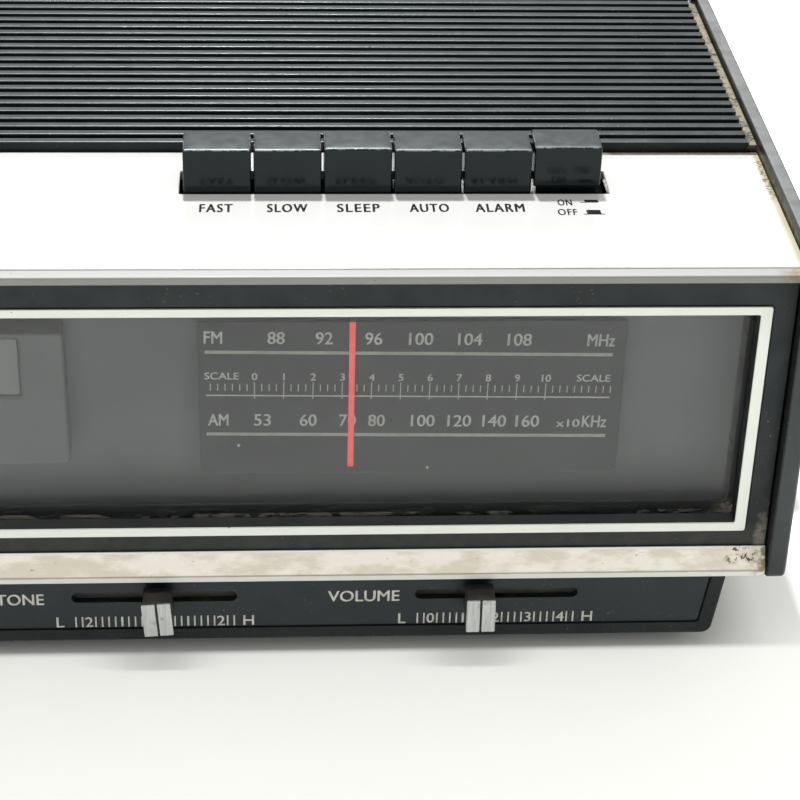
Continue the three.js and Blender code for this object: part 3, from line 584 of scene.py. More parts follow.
def lower_trim_finish():
    """Anodised strip gone patchy: cream and pale straw clouds and rust at its right end. Painted light on it: a
    highlight along the top edge, shade along the ridge and a reflection on the narrow facet below.
    """
    f = Finish("lower_trim_aluminium", metallic=0.35)
    cloud = f.noise(5, 5, 0.6, f.stretched(0.45, 1, 1))
    streaks = f.noise(1.0, 4, 0.6, f.stretched(0.03, 1, 1))
    colour = f.blend(f.ramp(cloud, 0.40, 0.60), (0.76, 0.715, 0.635), (0.56, 0.505, 0.40))
    colour = f.blend(f.times(streaks, 0.35), colour, (0.66, 0.635, 0.58))
    # Painted highlight: a neutral light line along the top edge.
    top_highlight = f.across("Z", 29.8, 30.2)
    colour = f.blend(top_highlight, colour, (0.60, 0.60, 0.57))
    # Painted shade: a thin dark line along the ridge between the two facets.
    ridge_shade = f.times(f.across("Z", 25.0, 25.2), f.across("Z", 25.75, 25.5))
    colour = f.blend(f.times(ridge_shade, 0.75), colour, (0.20, 0.19, 0.175))
    # Painted reflection: the narrow facet below the ridge is given a light neutral colour, as it reflects the
    # table.
    colour = f.blend(f.across("Z", 25.05, 24.85), colour, (0.60, 0.595, 0.555))
    scuffs = f.ramp(f.noise(1.1, 4, 0.7, f.stretched(0.5, 1, 1)), 0.66, 0.76)
    colour = f.blend(scuffs, colour, (0.20, 0.165, 0.11))
    zone = f.times(f.across("X", 128.0, 130.5), f.across("X", 137.0, 135.0), f.across("Z", 26.6, 27.6))
    rust = f.times(zone, f.ramp(f.noise(1.5, 4, 0.7), 0.53, 0.59))
    colour = f.blend(rust, colour, (0.075, 0.030, 0.014))
    end = f.times(f.across("X", 134.0, 138.0), f.patches(1.8, 4, 0.38, 0.58))
    colour = f.blend(end, colour, (0.19, 0.155, 0.10))
    return f.coat(colour, cloud, (0.34, 0.5), (streaks, 0.2, 0.02), (f.noise(3, 4), 0.3, 0.04))


def light_line_finish():
    f = Finish("light_line_plastic")
    colour = f.blend(f.noise(7, 4), (0.56, 0.58, 0.525), (0.61, 0.63, 0.575))
    colour = f.blend(f.patches(1.2, 2, 0.70, 0.76), colour, (0.25, 0.235, 0.18))
    return f.coat(colour, f.noise(4, 4), (0.32, 0.48), (f.noise(0.5, 2), 0.2, 0.01))


def lens_finish():
    """Thin smoked acrylic: grey and see-through, more of a mirror at a low angle, with dust in a corner.

    Its alpha lets the dial through. It doesn't refract.
    """
    f = Finish("smoked_acrylic", ior=1.95, roughness=0.03, specular_ior_level=0.5)
    corner = f.times(f.across("X", 119, 130), f.across("Z", 44.5, 36.5))
    packed = f.ramp(f.times(corner, f.noise(0.9, 5, 0.75)), 0.26, 0.56)
    dashes = f.ramp(f.noise(2.4, 4, 0.7, f.stretched(0.4, 1, 1)), 0.44, 0.58)
    ledge = f.times(f.across("Z", 37.35, 37.15), f.times(dashes, 0.7))
    specks = f.times(f.patches(0.5, 1, 0.72, 0.78), 0.3)
    dust = f.math("MAXIMUM", specks, f.math("MAXIMUM", packed, ledge))
    mirror = f.node("Fresnel")
    mirror.inputs["IOR"].default_value = 1.49
    f.set("Base Color", f.blend(dust, (0.055, 0.061, 0.062), (0.23, 0.21, 0.16)))
    f.set("Alpha", f.math("MAXIMUM", dust, f.plus(mirror.outputs[0], 0.11)))
    return f.material


def chassis_finish(name, dark, light):
    """Matt grey metal or card behind the window."""
    f = Finish(name, specular_ior_level=0.2)
    colour = f.blend(f.patches(30, 4, 0.3, 0.7), dark, light)
    return f.coat(colour, f.noise(3, 3), (0.7, 0.85), (f.noise(0.6, 2), 0.04, 0.003))


def needle_finish():
    """Red paint, given a painted glow of its own, up to the black arm that hangs the needle from its carriage."""
    f = Finish("pointer_red_paint", roughness=0.45)
    paint = f.blend(f.patches(1.5, 4, 0.35, 0.65), (1.0, 0.105, 0.105), (1.0, 0.145, 0.140))
    painted = f.across("Z", NEEDLE_TOP + 0.1, NEEDLE_TOP - 0.1)
    f.set("Base Color", f.blend(painted, (0.01, 0.01, 0.01), paint))
    # Painted glow: the red paint is given light of its own, though it is no lamp.
    f.set("Emission Color", paint)
    f.set("Emission Strength", f.times(painted, 0.45))
    f.bump((f.noise(0.3, 2), 0.2, 0.005))
    return f.material


def ink_finish(name, dark, light, rough=0.55, gloss=0.5):
    f = Finish(name, specular_ior_level=gloss)
    colour = f.blend(f.patches(1.5, 4, 0.35, 0.65), dark, light)
    return f.coat(colour, f.noise(0.8, 2), (rough - 0.08, rough + 0.08), (f.noise(0.3, 2), 0.2, 0.005))


def key_finish():
    """Glossy near-black keys: tops painted a lighter grey in patches, a painted sheen together with rubbing, and
    bright worn front edges.
    """
    top = Extent("key_fast").z1
    f = Finish("key_plastic", ior=1.47)
    colour = f.blend(f.noise(8, 4), (0.0012, 0.003, 0.004), (0.003, 0.005, 0.006))
    upward = f.facing("Z", 0.5, 0.95)
    # Painted sheen with rubbing: the tops get a lighter grey, in patches, as light falls on them.
    top_sheen_and_rubbing = f.times(upward, f.patches(4, 4, 0.3, 0.65, 0.5, 1.0))
    colour = f.blend(top_sheen_and_rubbing, colour, (0.017, 0.019, 0.020))
    edge = f.times(f.facing("Z", 0.25, 0.6), f.facing("Z", 0.97, 0.8))
    patchy = f.times(edge, f.ramp(f.noise(1.6, 4, 0.65), 0.44, 0.58))
    patchy = f.times(patchy, f.across("Z", top - 1.5, top - 0.6))
    colour = f.blend(f.times(patchy, 0.7), colour, (0.14, 0.145, 0.145))
    f.set("Base Color", colour)
    gloss = f.patches(2.5, 5, 0.3, 0.7, 0.12, 0.22)
    f.set("Roughness", f.plus(gloss, f.times(upward, 0.2)))
    f.set("Specular IOR Level", f.ramp(upward, 0, 1, 0.42, 0.5))
    f.set("Specular Tint", COOL)
    f.bump((f.noise(0.4, 2), 0.12, 0.01), (f.noise(9, 2), 0.2, 0.06))
    return f.material


def brushed(name, dark, light, stretch, rough=(0.28, 0.42), metallic=1.0):
    """Metal brushed along one axis."""
    f = Finish(name, metallic=metallic)
    lines = f.noise(0.5, 4, 0.65, f.stretched(*stretch))
    colour = f.blend(f.ramp(lines, 0.3, 0.7), dark, light)
    colour = f.blend(f.patches(3, 4, 0.58, 0.72), colour, tuple(c * 0.7 for c in dark))
    return f.coat(colour, lines, rough, (lines, 0.3, 0.02))


def mottled(name, dark, light, rough, size=3.0, grain=0.5, depth=0.02):
    """Plain surfaces: parts inside the case, feet and slider blocks."""
    f = Finish(name)
    colour = f.blend(f.patches(size, 4, 0.35, 0.65), dark, light)
    return f.coat(colour, f.noise(size / 2, 3), (rough - 0.08, rough + 0.08), (f.noise(grain, 3), 0.4, depth))


BLACK = (0.006, 0.0065, 0.007), (0.011, 0.0115, 0.012)
FINISHES = {
    # Painted sheen: the last colours given to cheek, bezel and grille are for their faces that look up, lit
    # lighter.
    "cheek": plastic("cheek_plastic", *BLACK, gloss=(0.4, 0.8), dirt=cheek_dust, top_sheen=(0.085, 0.085, 0.080)),
    "case": plastic("case_plastic", *BLACK),
    "bezel": plastic("bezel_plastic", (0.003, 0.0035, 0.004), (0.006, 0.0065, 0.007), gloss=(0.25, 0.5),
                     dirt=corner_dust, top_sheen=(0.030, 0.031, 0.031)),
    "grille": plastic("grille_plastic", (0.004, 0.0055, 0.0055), (0.010, 0.012, 0.0115), (0.30, 0.42),
                      dirt=rail_dust, top_sheen=(0.012, 0.0135, 0.0135)),
    "tray": plastic("tray_plastic", (0.005, 0.0055, 0.006), (0.009, 0.0095, 0.010), (0.42, 0.58)),
    "plate": plastic("plate_plastic", (0.002, 0.0035, 0.005), (0.005, 0.007, 0.009), (0.30, 0.42), 0.25, 0.01,
                     gloss=(0.45, 0.5)),
    "panel": white_panel_finish(),
    "upper_trim": upper_trim_finish(),
    "lower_trim": lower_trim_finish(),
    "line": light_line_finish(),
    "lens": lens_finish(),
    "border": ink_finish("border_ink", (0.018, 0.020, 0.022), (0.025, 0.027, 0.029)),
    "chassis": chassis_finish("chassis_grey", (0.180, 0.196, 0.196), (0.215, 0.232, 0.232)),
    "dial": chassis_finish("dial_card", (0.058, 0.063, 0.064), (0.070, 0.076, 0.078)),
    "housing": chassis_finish("housing_grey", (0.205, 0.218, 0.220), (0.245, 0.258, 0.260)),
    "dial_ink": ink_finish("dial_ink", (0.66, 0.68, 0.62), (0.80, 0.82, 0.76)),
    "dial_line_ink": ink_finish("dial_line_ink", (0.50, 0.54, 0.43), (0.62, 0.66, 0.54)),
    "plate_ink": ink_finish("plate_ink", (0.42, 0.41, 0.365), (0.55, 0.54, 0.49)),
    "legend_ink": ink_finish("legend_ink", (0.006, 0.007, 0.007), (0.014, 0.015, 0.015), 0.8, 0.04),
    "red": needle_finish(),
    "key": key_finish(),
    "cap": brushed("silver_cap", (0.36, 0.37, 0.36), (0.50, 0.51, 0.50), (1, 1, 0.06), (0.34, 0.5), 0.6),
    "knob_block": mottled("knob_block", (0.012, 0.011, 0.010), (0.024, 0.021, 0.018), 0.5),
    "steel": brushed("plated_steel", (0.42, 0.43, 0.44), (0.60, 0.61, 0.62), (0.2, 1, 1)),
    "rubber": mottled("rubber", (0.018, 0.018, 0.018), (0.030, 0.030, 0.029), 0.8, 2.0, 0.3, 0.03),
    "board": mottled("circuit_board", (0.20, 0.11, 0.035), (0.27, 0.16, 0.06), 0.5, 2.0, 1.2, 0.04),
    "switch": mottled("switch_plastic", (0.42, 0.39, 0.30), (0.52, 0.49, 0.40), 0.5),
    "cone": mottled("cone_paper", (0.016, 0.015, 0.014), (0.030, 0.028, 0.026), 0.9, 1.5, 0.4, 0.05),
    "ferrite": mottled("ferrite", (0.030, 0.029, 0.030), (0.050, 0.049, 0.050), 0.5, 1.5),
    "copper": brushed("copper_wire", (0.42, 0.16, 0.07), (0.62, 0.28, 0.13), (1, 1, 0.1)),
    "core": brushed("core_steel", (0.10, 0.10, 0.11), (0.20, 0.20, 0.21), (1, 0.05, 1)),
    "glass": mottled("lamp_glass", (0.72, 0.68, 0.55), (0.80, 0.77, 0.66), 0.15),
    "filter": chassis_finish("filter_plastic", (0.32, 0.338, 0.337), (0.37, 0.388, 0.387)),
}

# What the CAD nodes that stay shown are finished in, by the record's slot.
SLOT_FINISH = {
    "black_plastic": "case",
    "key_plastic": "key",
    "white_paint": "panel",
    "trim_aluminium": "upper_trim",
    "light_line": "line",
    "smoked_acrylic": "filter",
    "dial_black": "chassis",
    "pointer_red": "red",
    "steel": "steel",
    "silver_cap": "cap",
    "circuit_board": "board",
    "switch_plastic": "switch",
    "cone_paper": "cone",
    "ferrite": "ferrite",
    "copper_wire": "copper",
    "core_steel": "core",
    "rubber": "rubber",
    "lamp_glass": "glass",
}


def finish_cad_nodes():
    """Every CAD node gets the material of its slot in the record."""
    for entry in frame["record"]["subparts"]:
        node = frame["nodes"][entry["node"]]
        node.data.materials.clear()
        node.data.materials.append(FINISHES[SLOT_FINISH[entry["material_slot"]]])


finish_cad_nodes()

# ---------------------------------------------------------------- case

CHEEK = {"corner": 2.5, "edge": 0.8, "inner_edge": 0.3, "ledge": 98.6, "front": 0.5, "rear": 146.0}


def cheek_outline(at, inset, top, notch):
    """The cheek from the side. The notch lets the top panel and the louvres reach out over its ledge."""
    front, rear = CHEEK["front"], CHEEK["rear"]
    corners = [
        (at.y0, at.z0), (at.y1, at.z0), (at.y1, top), (rear, top),
        (rear, top - notch), (front, top - notch), (front, top), (at.y0, top),
    ]
    large = CHEEK["corner"]
    small = min(notch / 3, 0.1)
    return rounded(corners, [large, large, large, small, small, small, small, large], inset)


def hole_in_cheek(a, b, radius):
    """A round loop whose quarters face the four corners of the cheek's outline, point for point."""
    points = []
    for start, corners in ((180, 1), (270, 1), (0, 3), (90, 3)):
        count = corners * (ARC_STEPS + 1)
        for i in range(count):
            t = math.radians(start + 90 * (i + 0.5) / count)
            points.append((a + radius * math.cos(t), b + radius * math.sin(t)))
    return points


def make_cheek(side):
    at = Extent(f"{side}_cheek")
    outward = 1 if side == "right" else -1
    inner, outer = sorted((abs(at.x0), abs(at.x1)))
    lip = Extent("top_panel").x1 + 0.25
    deep, flush = at.z1 - CHEEK["ledge"], 0.02
    turns = [math.radians(90 * i / 5) for i in range(6)]
    sections = []
    for t in turns[::5]:
        e = CHEEK["inner_edge"]
        sections.append((inner + e * (1 - math.cos(t)), e * (1 - math.sin(t)), at.z1, deep))
    sections.append((lip, 0, at.z1, deep))
    for t in turns:
        e = CHEEK["edge"] * 0.6
        sections.append((lip + e * (1 - math.cos(t)), 0, at.z1 - e * (1 - math.sin(t)), flush))
    for t in turns[::-1]:
        e = CHEEK["edge"]
        sections.append((outer - e * (1 - math.cos(t)), e * (1 - math.sin(t)), at.z1, flush))
    loops = [
        [(outward * x, a, b) for a, b in cheek_outline(at, inset, top, notch)]
        for x, inset, top, notch in sections
    ]
    shape = Shape()
    if side == "left":
        shape.loft(loops)
    else:
        shaft = Extent("tuning_shaft")
        hole = hole_in_cheek(shaft.middle[1], shaft.middle[2], (shaft.y1 - shaft.y0) / 2 + 0.6)
        loops += [[(x, a, b) for a, b in hole] for x in (outer, inner)]
        # On the inner face, a loop just under the ledge lies between the hole and the notched outline.
        below_ledge = cheek_outline(at, CHEEK["inner_edge"] + 0.4, CHEEK["ledge"] - 0.3, flush)
        loops.append([(inner, a, b) for a, b in below_ledge])
        shape.loft(loops, ring=True)
    make(f"{side}_side_panel", shape, "cheek", replaces=[f"{side}_cheek"])


def make_top_panel():
    at = Extent("top_panel")
    row = [Extent(f"key_{name}") for name in ("fast", "power")]
    rim = rectangle(at.x0, at.y0, at.x1, at.y1)
    margin = 1.0
    recess = rectangle(
        row[0].x0 - margin, row[0].y0 - margin - 0.2,
        row[1].x1 + margin + 1.2, row[0].y1 + margin - 0.3,
    )
    edge = 0.3
    levels = rounding(at.z0, at.z1, edge)
    loops = carried(rim, 0.5, levels, "z")
    loops += carried(recess, 0.5, [(-inset, z) for inset, z in reversed(levels)], "z")
    shape = Shape().loft(loops, ring=True)
    make("top_cover", shape, "panel", replaces=["top_panel"])


LOUVRE = {"pitch": 4.25, "width": 2.2, "end": 137.3, "rail": 139.4, "ribs": 5}


def make_grille():
    at = Extent("louvre_grille")
    shape = Shape()
    count = round((at.y1 - at.y0 - LOUVRE["width"]) / LOUVRE["pitch"]) + 1
    for number in range(count):
        y = at.y0 + number * LOUVRE["pitch"]
        end = LOUVRE["end"] + 0.3
        shape.block(-end, end, y, y + LOUVRE["width"], at.z0, at.z1, "x", 0.35, 0.2)
    for side in (-1, 1):
        x0, x1 = sorted((side * LOUVRE["end"], side * LOUVRE["rail"]))
        shape.block(x0, x1, at.y0, at.y1, CHEEK["ledge"] + 0.3, at.z1 - 0.6, "y", 0.3, 0.3)
    for number in range(LOUVRE["ribs"]):
        x = (LOUVRE["end"] - 2) * (2 * number / (LOUVRE["ribs"] - 1) - 1)
        shape.block(x - 1.2, x + 1.2, at.y0 + 0.4, at.y1 - 0.4, at.z0 + 0.5, at.z0 + 3, "y", 0.2, 0.2)
    make("louvres", shape, "grille", replaces=["louvre_grille"])


def make_trims():
    at = Extent("upper_trim")
    shape = Shape().prism(rectangle(at.y0, at.z0, at.y1, at.z1), at.x0, at.x1, "x", 0.55, 0.2)
    make("upper_strip", shape, "upper_trim", replaces=["upper_trim"])
    at = Extent("lower_trim")
    hook = Extent("front_bezel").z0 - 0.3
    top = at.z1 + 0.8
    section = [
        (at.y0 + 0.3, at.z0), (at.y1, at.z0), (at.y1, hook), (-0.3, hook),
        (-0.3, top), (-0.75, top), (at.y0, at.z0 + 2.0),
    ]
    shape = Shape().prism(section, at.x0, at.x1, "x", [0.25, 0.2, 0.2, 0.1, 0.15, 0.3, 0.35], 0.2)
    make("lower_strip", shape, "lower_trim", replaces=["lower_trim"])


OPENING = {"half": 130.65, "bottom": 36.5, "top": 90.25}


def make_bezel():
    at = Extent("front_bezel")
    line = Extent("frame_inlay")
    lens = Extent("window_lens")
    seat_gap = 0.28
    line_back = line.y0 + 0.5
    seat_depth = line_back + 0.1
    rim = at.front
    loops = carried(rim, 0.5, reversed(rounding(at.y0, at.y1, 0.35)), "y")
    seat = line.front
    opening = rectangle(-OPENING["half"], OPENING["bottom"], OPENING["half"], OPENING["top"])
    pocket = lens.front
    steps = [
        (seat, 0.6, -seat_gap - 0.12, at.y0),
        (seat, 0.6, -seat_gap, at.y0 + 0.12),
        (seat, 0.6, -seat_gap, seat_depth),
        (opening, 0.6, 0, seat_depth),
        (opening, 0.6, 0, lens.y0 - 0.65),
        (opening, 0.6, -0.3, lens.y0 - 0.35),
        (pocket, 1.5, -0.3, lens.y0 - 0.3),
        (pocket, 1.5, -0.3, at.y1),
    ]
    for outline, corner, inset, y in steps:
        loops += carried(outline, corner, [(inset, y)], "y")
    make("front_frame", Shape().loft(loops, ring=True), "bezel",
         replaces=["front_bezel"])
    levels = rounding(line.y0, line_back, 0.08)
    loops = carried(seat, 0.6, levels, "y")
    loops += carried(opening, 0.45, [(-inset - 0.02, y) for inset, y in reversed(levels)], "y")
    make("light_line", Shape().loft(loops, ring=True), "line",
         replaces=["frame_inlay"])


BORDER = {"half": 129.9, "bottom": 38.45, "top": 87.2, "corner": 1.6}


def make_window():
    at = Extent("window_lens")
    shape = Shape().prism(at.front, at.y0, at.y1, "y", 1.5, 0.15)
    make("window", shape, "lens", replaces=["window_lens"])
    back, front = at.y1 + 0.12, at.y1 + 0.04
    outer = rounded(rectangle(at.x0 + 0.2, at.z0 + 0.2, at.x1 - 0.2, at.z1 - 0.2), 1.4)
    clear = rectangle(-BORDER["half"], BORDER["bottom"], BORDER["half"], BORDER["top"])
    inner = rounded(clear, BORDER["corner"])
    order = (outer, back), (outer, front), (inner, front), (inner, back)
    loops = [[(a, y, b) for a, b in outline] for outline, y in order]
    make("window_border", Shape().loft(loops, ring=True), "border")


# ---------------------------------------------------------------- behind the window

def make_display():
    at = Extent("display_housing")
    window = Extent("display_filter")
    rim = at.front
    hole = window.front
    spare, flare = 0.3, 0.6
    floor = at.y0 + 3
    loops = carried(rim, 1.0, reversed(rounding(at.y0, at.y1, 0.5)), "y")
    loops += carried(hole, 0.4, [(-spare - flare, at.y0), (-spare, at.y0 + flare), (-spare, floor)], "y")
    shape = Shape().loft(loops, ring=True)
    shape.block(window.x0 - spare, window.x1 + spare, floor, floor + 0.6, window.z0 - spare,
                window.z1 + spare, "y", 0.3, 0.1)
    make("display_surround", shape, "housing", replaces=["display_housing"])
    pane = Shape().prism(hole, window.y0 + 0.4, window.y1, "y", 0.4, 0.15)
    make("display_pane", pane, "filter", replaces=["display_filter"])


# The dial's print runs a little downhill. Its anchor is the left end of the FM line.
DIAL_ANCHOR = (12.4, 76.05)
DIAL_TILT = -0.77


def make_dial():
    at = Extent("dial_plate")
    shape = Shape().prism(at.front, at.y0, at.y1, "y", 0.9, 0.2)
    make("dial_face", shape, "dial", replaces=["dial_plate"])
    print_, lines = [Print(on_front("dial_plate"), DIAL_ANCHOR, DIAL_TILT) for _ in range(2)]
    left = DIAL_ANCHOR[0]
    two, three = 3.75, 5.3
    fm_row = (
        ("FM", 14.2, 4.0), ("88", 27.8, two), ("92", 38.2, two), ("96", 48.9, two), ("100", 59.2, three),
        ("104", 69.9, three), ("108", 80.7, three), ("MHz", 98.6, 6.1),
    )
    am_row = (
        ("AM", 15.3, 4.5), ("53", 25.0, two), ("60", 35.1, two), ("70", 43.8, two), ("80", 50.2, two),
        ("100", 60.5, three), ("120", 68.6, three), ("140", 76.4, three), ("160", 83.8, three),
        ("KHz", 98.8, 5.5),
    )
    tall, weight = 3.0, 0.12
    am_up, am_line = -17.28, -21.0
    for row, up in ((fm_row, 3.65), (am_row, am_up)):
        for text, x, width in row:
            print_.words(text, x - left, up, tall, width, weight)
    print_.words("x10", 92.9 - left, am_up - 0.45, tall * 0.66, 5.3, weight)
    lines.bar(0, 89.0, -0.4, 0.4)
    lines.bar(0.3, 89.2, am_line - 0.4, am_line + 0.4)
    scale_line = -10.97
    print_.bar(0.2, 89.3, scale_line - 0.17, scale_line + 0.17)
    zero, unit = 23.2 - left, 6.405
    tick = unit / 4
    for number in range(11):
        print_.words(str(number), zero + unit * number, scale_line + 4.85, 1.8, weight=0.08)
    for word_at in (16.05, 97.7):
        print_.words("SCALE", word_at - left, scale_line + 4.95, 1.75, 7.5, 0.06)
    for number in range(-6, 50):
        along = zero + tick * number
        is_long = number % 4 == 0 and 0 <= number <= 40
        low, high = (-0.8, 3.5) if is_long else (1.2, 2.95)
        print_.bar(along - 0.1, along + 0.1, scale_line + low, scale_line + high)
    print_.bar(7.1, 7.7, -24.3, -23.7)
    print_.bar(49.4, 49.9, -30.0, -29.4)
    make("dial_print", print_, "dial_ink")
    make("dial_lines", lines, "dial_line_ink")


def make_pointer():
    at = Extent("pointer_needle")
    shape = Shape().block(at.x0, at.x1, at.y0, at.y1, at.z0, at.z1, "z", 0.25, 0.15)
    make("needle", shape, "red", body="pointer", replaces=["pointer_needle"])


# ---------------------------------------------------------------- keys

KEY_NAMES = ("fast", "slow", "sleep", "auto", "alarm", "power")
KEY_HEIGHT = {"power": 9.7}
KEY_CAP = 13.0
KEY_SLOPE = {"power": 0.0}
SKIRT_BOTTOM = 19.3


def make_key(name):
    """The cap with a faintly crowned top, its skirt and the stem that works the switch."""
    at = Extent(f"key_{name}")
    bottom = at.z1 - KEY_HEIGHT.get(name, KEY_CAP)
    corners = rectangle(at.x0 - 0.08, at.y0, at.x1 + 0.08, at.y1)
    edge = 0.55
    profile = rounding(bottom, at.z1 - 0.12, edge, 4)
    profile = [(inset * 0.4 if z < bottom + edge else inset, z) for inset, z in profile]
    profile += [(edge + 0.5, at.z1 - 0.06), (edge + 1.6, at.z1), (edge + 3.0, at.z1)]
    slope = KEY_SLOPE.get(name, 0.75)

    def leaning(y, z):
        """The front face runs forward towards the panel."""
        return y - slope * min(1, (at.z1 - z) / KEY_CAP) if y < at.middle[1] else y

    loops = carried(corners, 0.5, profile, "z")
    shape = Shape().loft([[(a, leaning(b, z), z) for a, b, z in loop] for loop in loops])
    skirt = 0.6
    skirt_bottom = at.z1 - SKIRT_BOTTOM
    shape.block(at.x0 + skirt, at.x1 - skirt, at.y0 + skirt, at.y1 - skirt, skirt_bottom, bottom + 0.5,
                "z", 0.3, 0.1)
    x, y, _ = at.middle
    shape.block(x - 2.5, x + 2.5, y - 1.5, y + 1.5, at.z0, skirt_bottom + 0.5, "z", 0.2, 0.1)
    make(f"{name}_key_cap", shape, "key", body=f"{name}_key", replaces=[f"key_{name}"])


def make_legends():
    """Thin drawing-office letters in front of the keys."""
    top = Extent("top_panel").z1 + 0.02

    def on_panel(a, b, out):
        return a, b, top + out

    shape = Print(on_panel)
    middle, height = 28.4, 3.9
    for name, width in (("fast", 7.3), ("slow", 8.9), ("sleep", 9.4), ("auto", 8.7), ("alarm", 10.9)):
        x = Extent(f"key_{name}").middle[0]
        shape.words(name.upper(), x - 0.15, middle, height, width, 0.22, 1.2)
    shape.words("ON", 91.6, 30.9, 2.9, 3.2, 0.12, 1.15)
    shape.words("OFF", 91.7, 26.3, 2.9, 4.3, 0.12, 1.15)
    shape.bar(96.2, 99.2, 30.9, 32.2, -0.2)
    shape.bar(95.1, 96.4, 30.85, 31.15)
    shape.bar(96.0, 99.1, 25.4, 27.3, -0.1)
    shape.bar(95.1, 99.9, 25.15, 25.45)
    make("panel_legends", shape, "legend_ink")


# ---------------------------------------------------------------- foot: tray, plate and slide controls

SLIDER_MIDDLE = {"band": -78.05, "tone": 0.0, "volume": 78.05}
SLOT_Z, SLOT_HEIGHT, SLOT_SPARE = 16.0, 2.6, 7.4


TRAY = {"half": 128.4, "lean": 2.7 / 19.0, "lip": 3.1, "floor": 23.3, "back": 138, "flange_half": 138.3}


def tray_corners(at, inset, top):
    """The tray's section: sides that lean in towards the table."""
    low = at.z0 + inset
    high = min(at.z1, top)
    half_low = TRAY["half"] - inset
    half_high = half_low + TRAY["lean"] * (high - low)
    return [(-half_low, low), (half_low, low), (half_high, high), (-half_high, high)]


def make_tray():
    at = Extent("bottom_shell")
    plate = Extent("base_plate")
    case_floor, back, flange = TRAY["floor"], TRAY["back"], TRAY["flange_half"]
    outer = tray_corners(at, 0, case_floor)
    radii = [2.4, 2.4, 0.3, 0.3]
    loops = carried(outer, radii, reversed(rounding(at.y0, back, 0.5)), "y")
    seat = tray_corners(at, TRAY["lip"] - 0.1, case_floor + 0.01)
    seat[2] = (seat[2][0], case_floor - 0.3)
    seat[3] = (seat[3][0], case_floor - 0.3)
    behind = plate.y1 + 0.3
    levels = [(-0.2, at.y0), (0, at.y0 + 0.2), (0, behind), (1.5, behind + 0.1), (1.5, back - 2.5)]
    shape = Shape().loft(loops + carried(seat, 1.0, levels, "y"))
    shape.block(-flange, flange, at.y0 + 2.3, at.y1, case_floor, at.z1, "z", 0.4, 0.2)
    make("tray", shape, "tray", replaces=["bottom_shell"])


def slot_outline(middle, travel):
    half = (travel + SLOT_SPARE) / 2
    corners = rectangle(middle - half, SLOT_Z - SLOT_HEIGHT / 2, middle + half, SLOT_Z + SLOT_HEIGHT / 2)
    return rounded(corners, SLOT_HEIGHT / 2 - 0.01, 0, 8)


def make_plate():
    at = Extent("base_plate")
    slides = [joint for joint in frame["joints"] if joint["type"] == "slide"]
    travel = {joint["child"]: (joint["range_m"][1] - joint["range_m"][0]) / MM for joint in slides}
    tray = Extent("bottom_shell")
    corners = tray_corners(tray, TRAY["lip"], at.z1)
    outlines = [rounded(corners, [0.8, 0.8, 0.2, 0.2])]
    outlines += [slot_outline(x, round(travel[f"{name}_slider"])) for name, x in SLIDER_MIDDLE.items()]
    shape = sheet_shape(outlines, at.y0, at.y1, "y", 0.15)
    make("control_panel", shape, "plate", replaces=["base_plate"])
    shape = Print(on_front("base_plate"))
    title_z, title_height = 15.7, 3.0
    scale_low, scale_high, scale_middle = 7.75, 10.65, 9.2
    shape.words("VOLUME", 47.6, title_z, title_height, 16.4, 0.12)
    shape.words("TONE", -30.3, title_z, title_height, 10.8, 0.12)
    shape.words("BAND", -104.5, title_z, title_height, 10.6, 0.12)
    for name, first, numbers in (("volume", 63.05, "01234"), ("tone", -15.0, "21012")):
        step = 7.5
        for index, digit in enumerate(numbers):
            shape.words(digit, first + step * index, scale_middle, 2.7, weight=0.1)
        for index in range(-2, 23):
            if index % 5:
                x = first + step / 5 * index
                shape.bar(x - 0.17, x + 0.17, scale_low, scale_high)
        shape.words("L", first - 6.55, scale_middle, 2.8, weight=0.08)
        shape.words("H", first + 36.3, scale_middle, 2.8, weight=0.08)
    for text, x in (("AM", -84.05), ("FM", -72.05)):
        shape.words(text, x, scale_middle, 2.7, weight=0.08)
    make("control_legends", shape, "plate_ink")


KNOB_TILT = {"band": 0.0, "tone": 4.0, "volume": 0.6}


def make_slider(name):
    """The black block with its lever, and the bright cap split by an index groove."""
    at = Extent(f"{name}_knob")
    cap = Extent(f"{name}_knob_cap")
    body = f"{name}_slider"
    x, _, z = cap.middle
    half, tall = (cap.x1 - cap.x0) / 2, (cap.z1 - cap.z0) / 2
    block_rear = -0.4
    shape = Shape().block(x - half, x + half, at.y0, block_rear, z - tall, z + tall, "y", 0.35, 0.15)
    shape.block(x - 1.5, x + 1.5, block_rear - 0.5, at.y1, z - 1, z + 1, "y", 0.2, 0.1)
    make(f"{name}_lever", shape, "knob_block", body=body, replaces=[f"{name}_knob"])
    ridge_shade = 0.25
    face = Shape()
    tilt = Matrix.Rotation(math.radians(-KNOB_TILT[name]), 3, "Y")
    for low, high in ((-half, -ridge_shade), (ridge_shade, half)):
        face.block(low, high, cap.y0, cap.y1, -tall, tall, "y", 0.2, 0.12)
    face.points = [tuple((tilt @ Vector(p)) + Vector((x, 0, z))) for p in face.points]
    make(f"{name}_cap", face, "cap", body=body, replaces=[f"{name}_knob_cap"])


def make_feet():
    for end in ("front", "rear"):
        for side in ("left", "right"):
            node = f"foot_{end}_{side}"
            at = Extent(node)
            x, y, _ = at.middle
            r = (at.x1 - at.x0) / 2
            edge = [(r - 1.0, 0), (r - 0.4, 0.12), (r - 0.1, 0.45), (r, 0.9), (r, at.z1)]
            profile = [(AXIS, 0), *edge, (AXIS, at.z1)]
            shape = Shape().turned(profile, "z", (x, y, 0), 48)
            make(f"{end}_{side}_pad", shape, "rubber", replaces=[node])


# ---------------------------------------------------------------- back and tuning knob

VENTS = {"count": 8, "first": 58, "pitch": 6, "wide": 2.5, "low": 45, "high": 75}


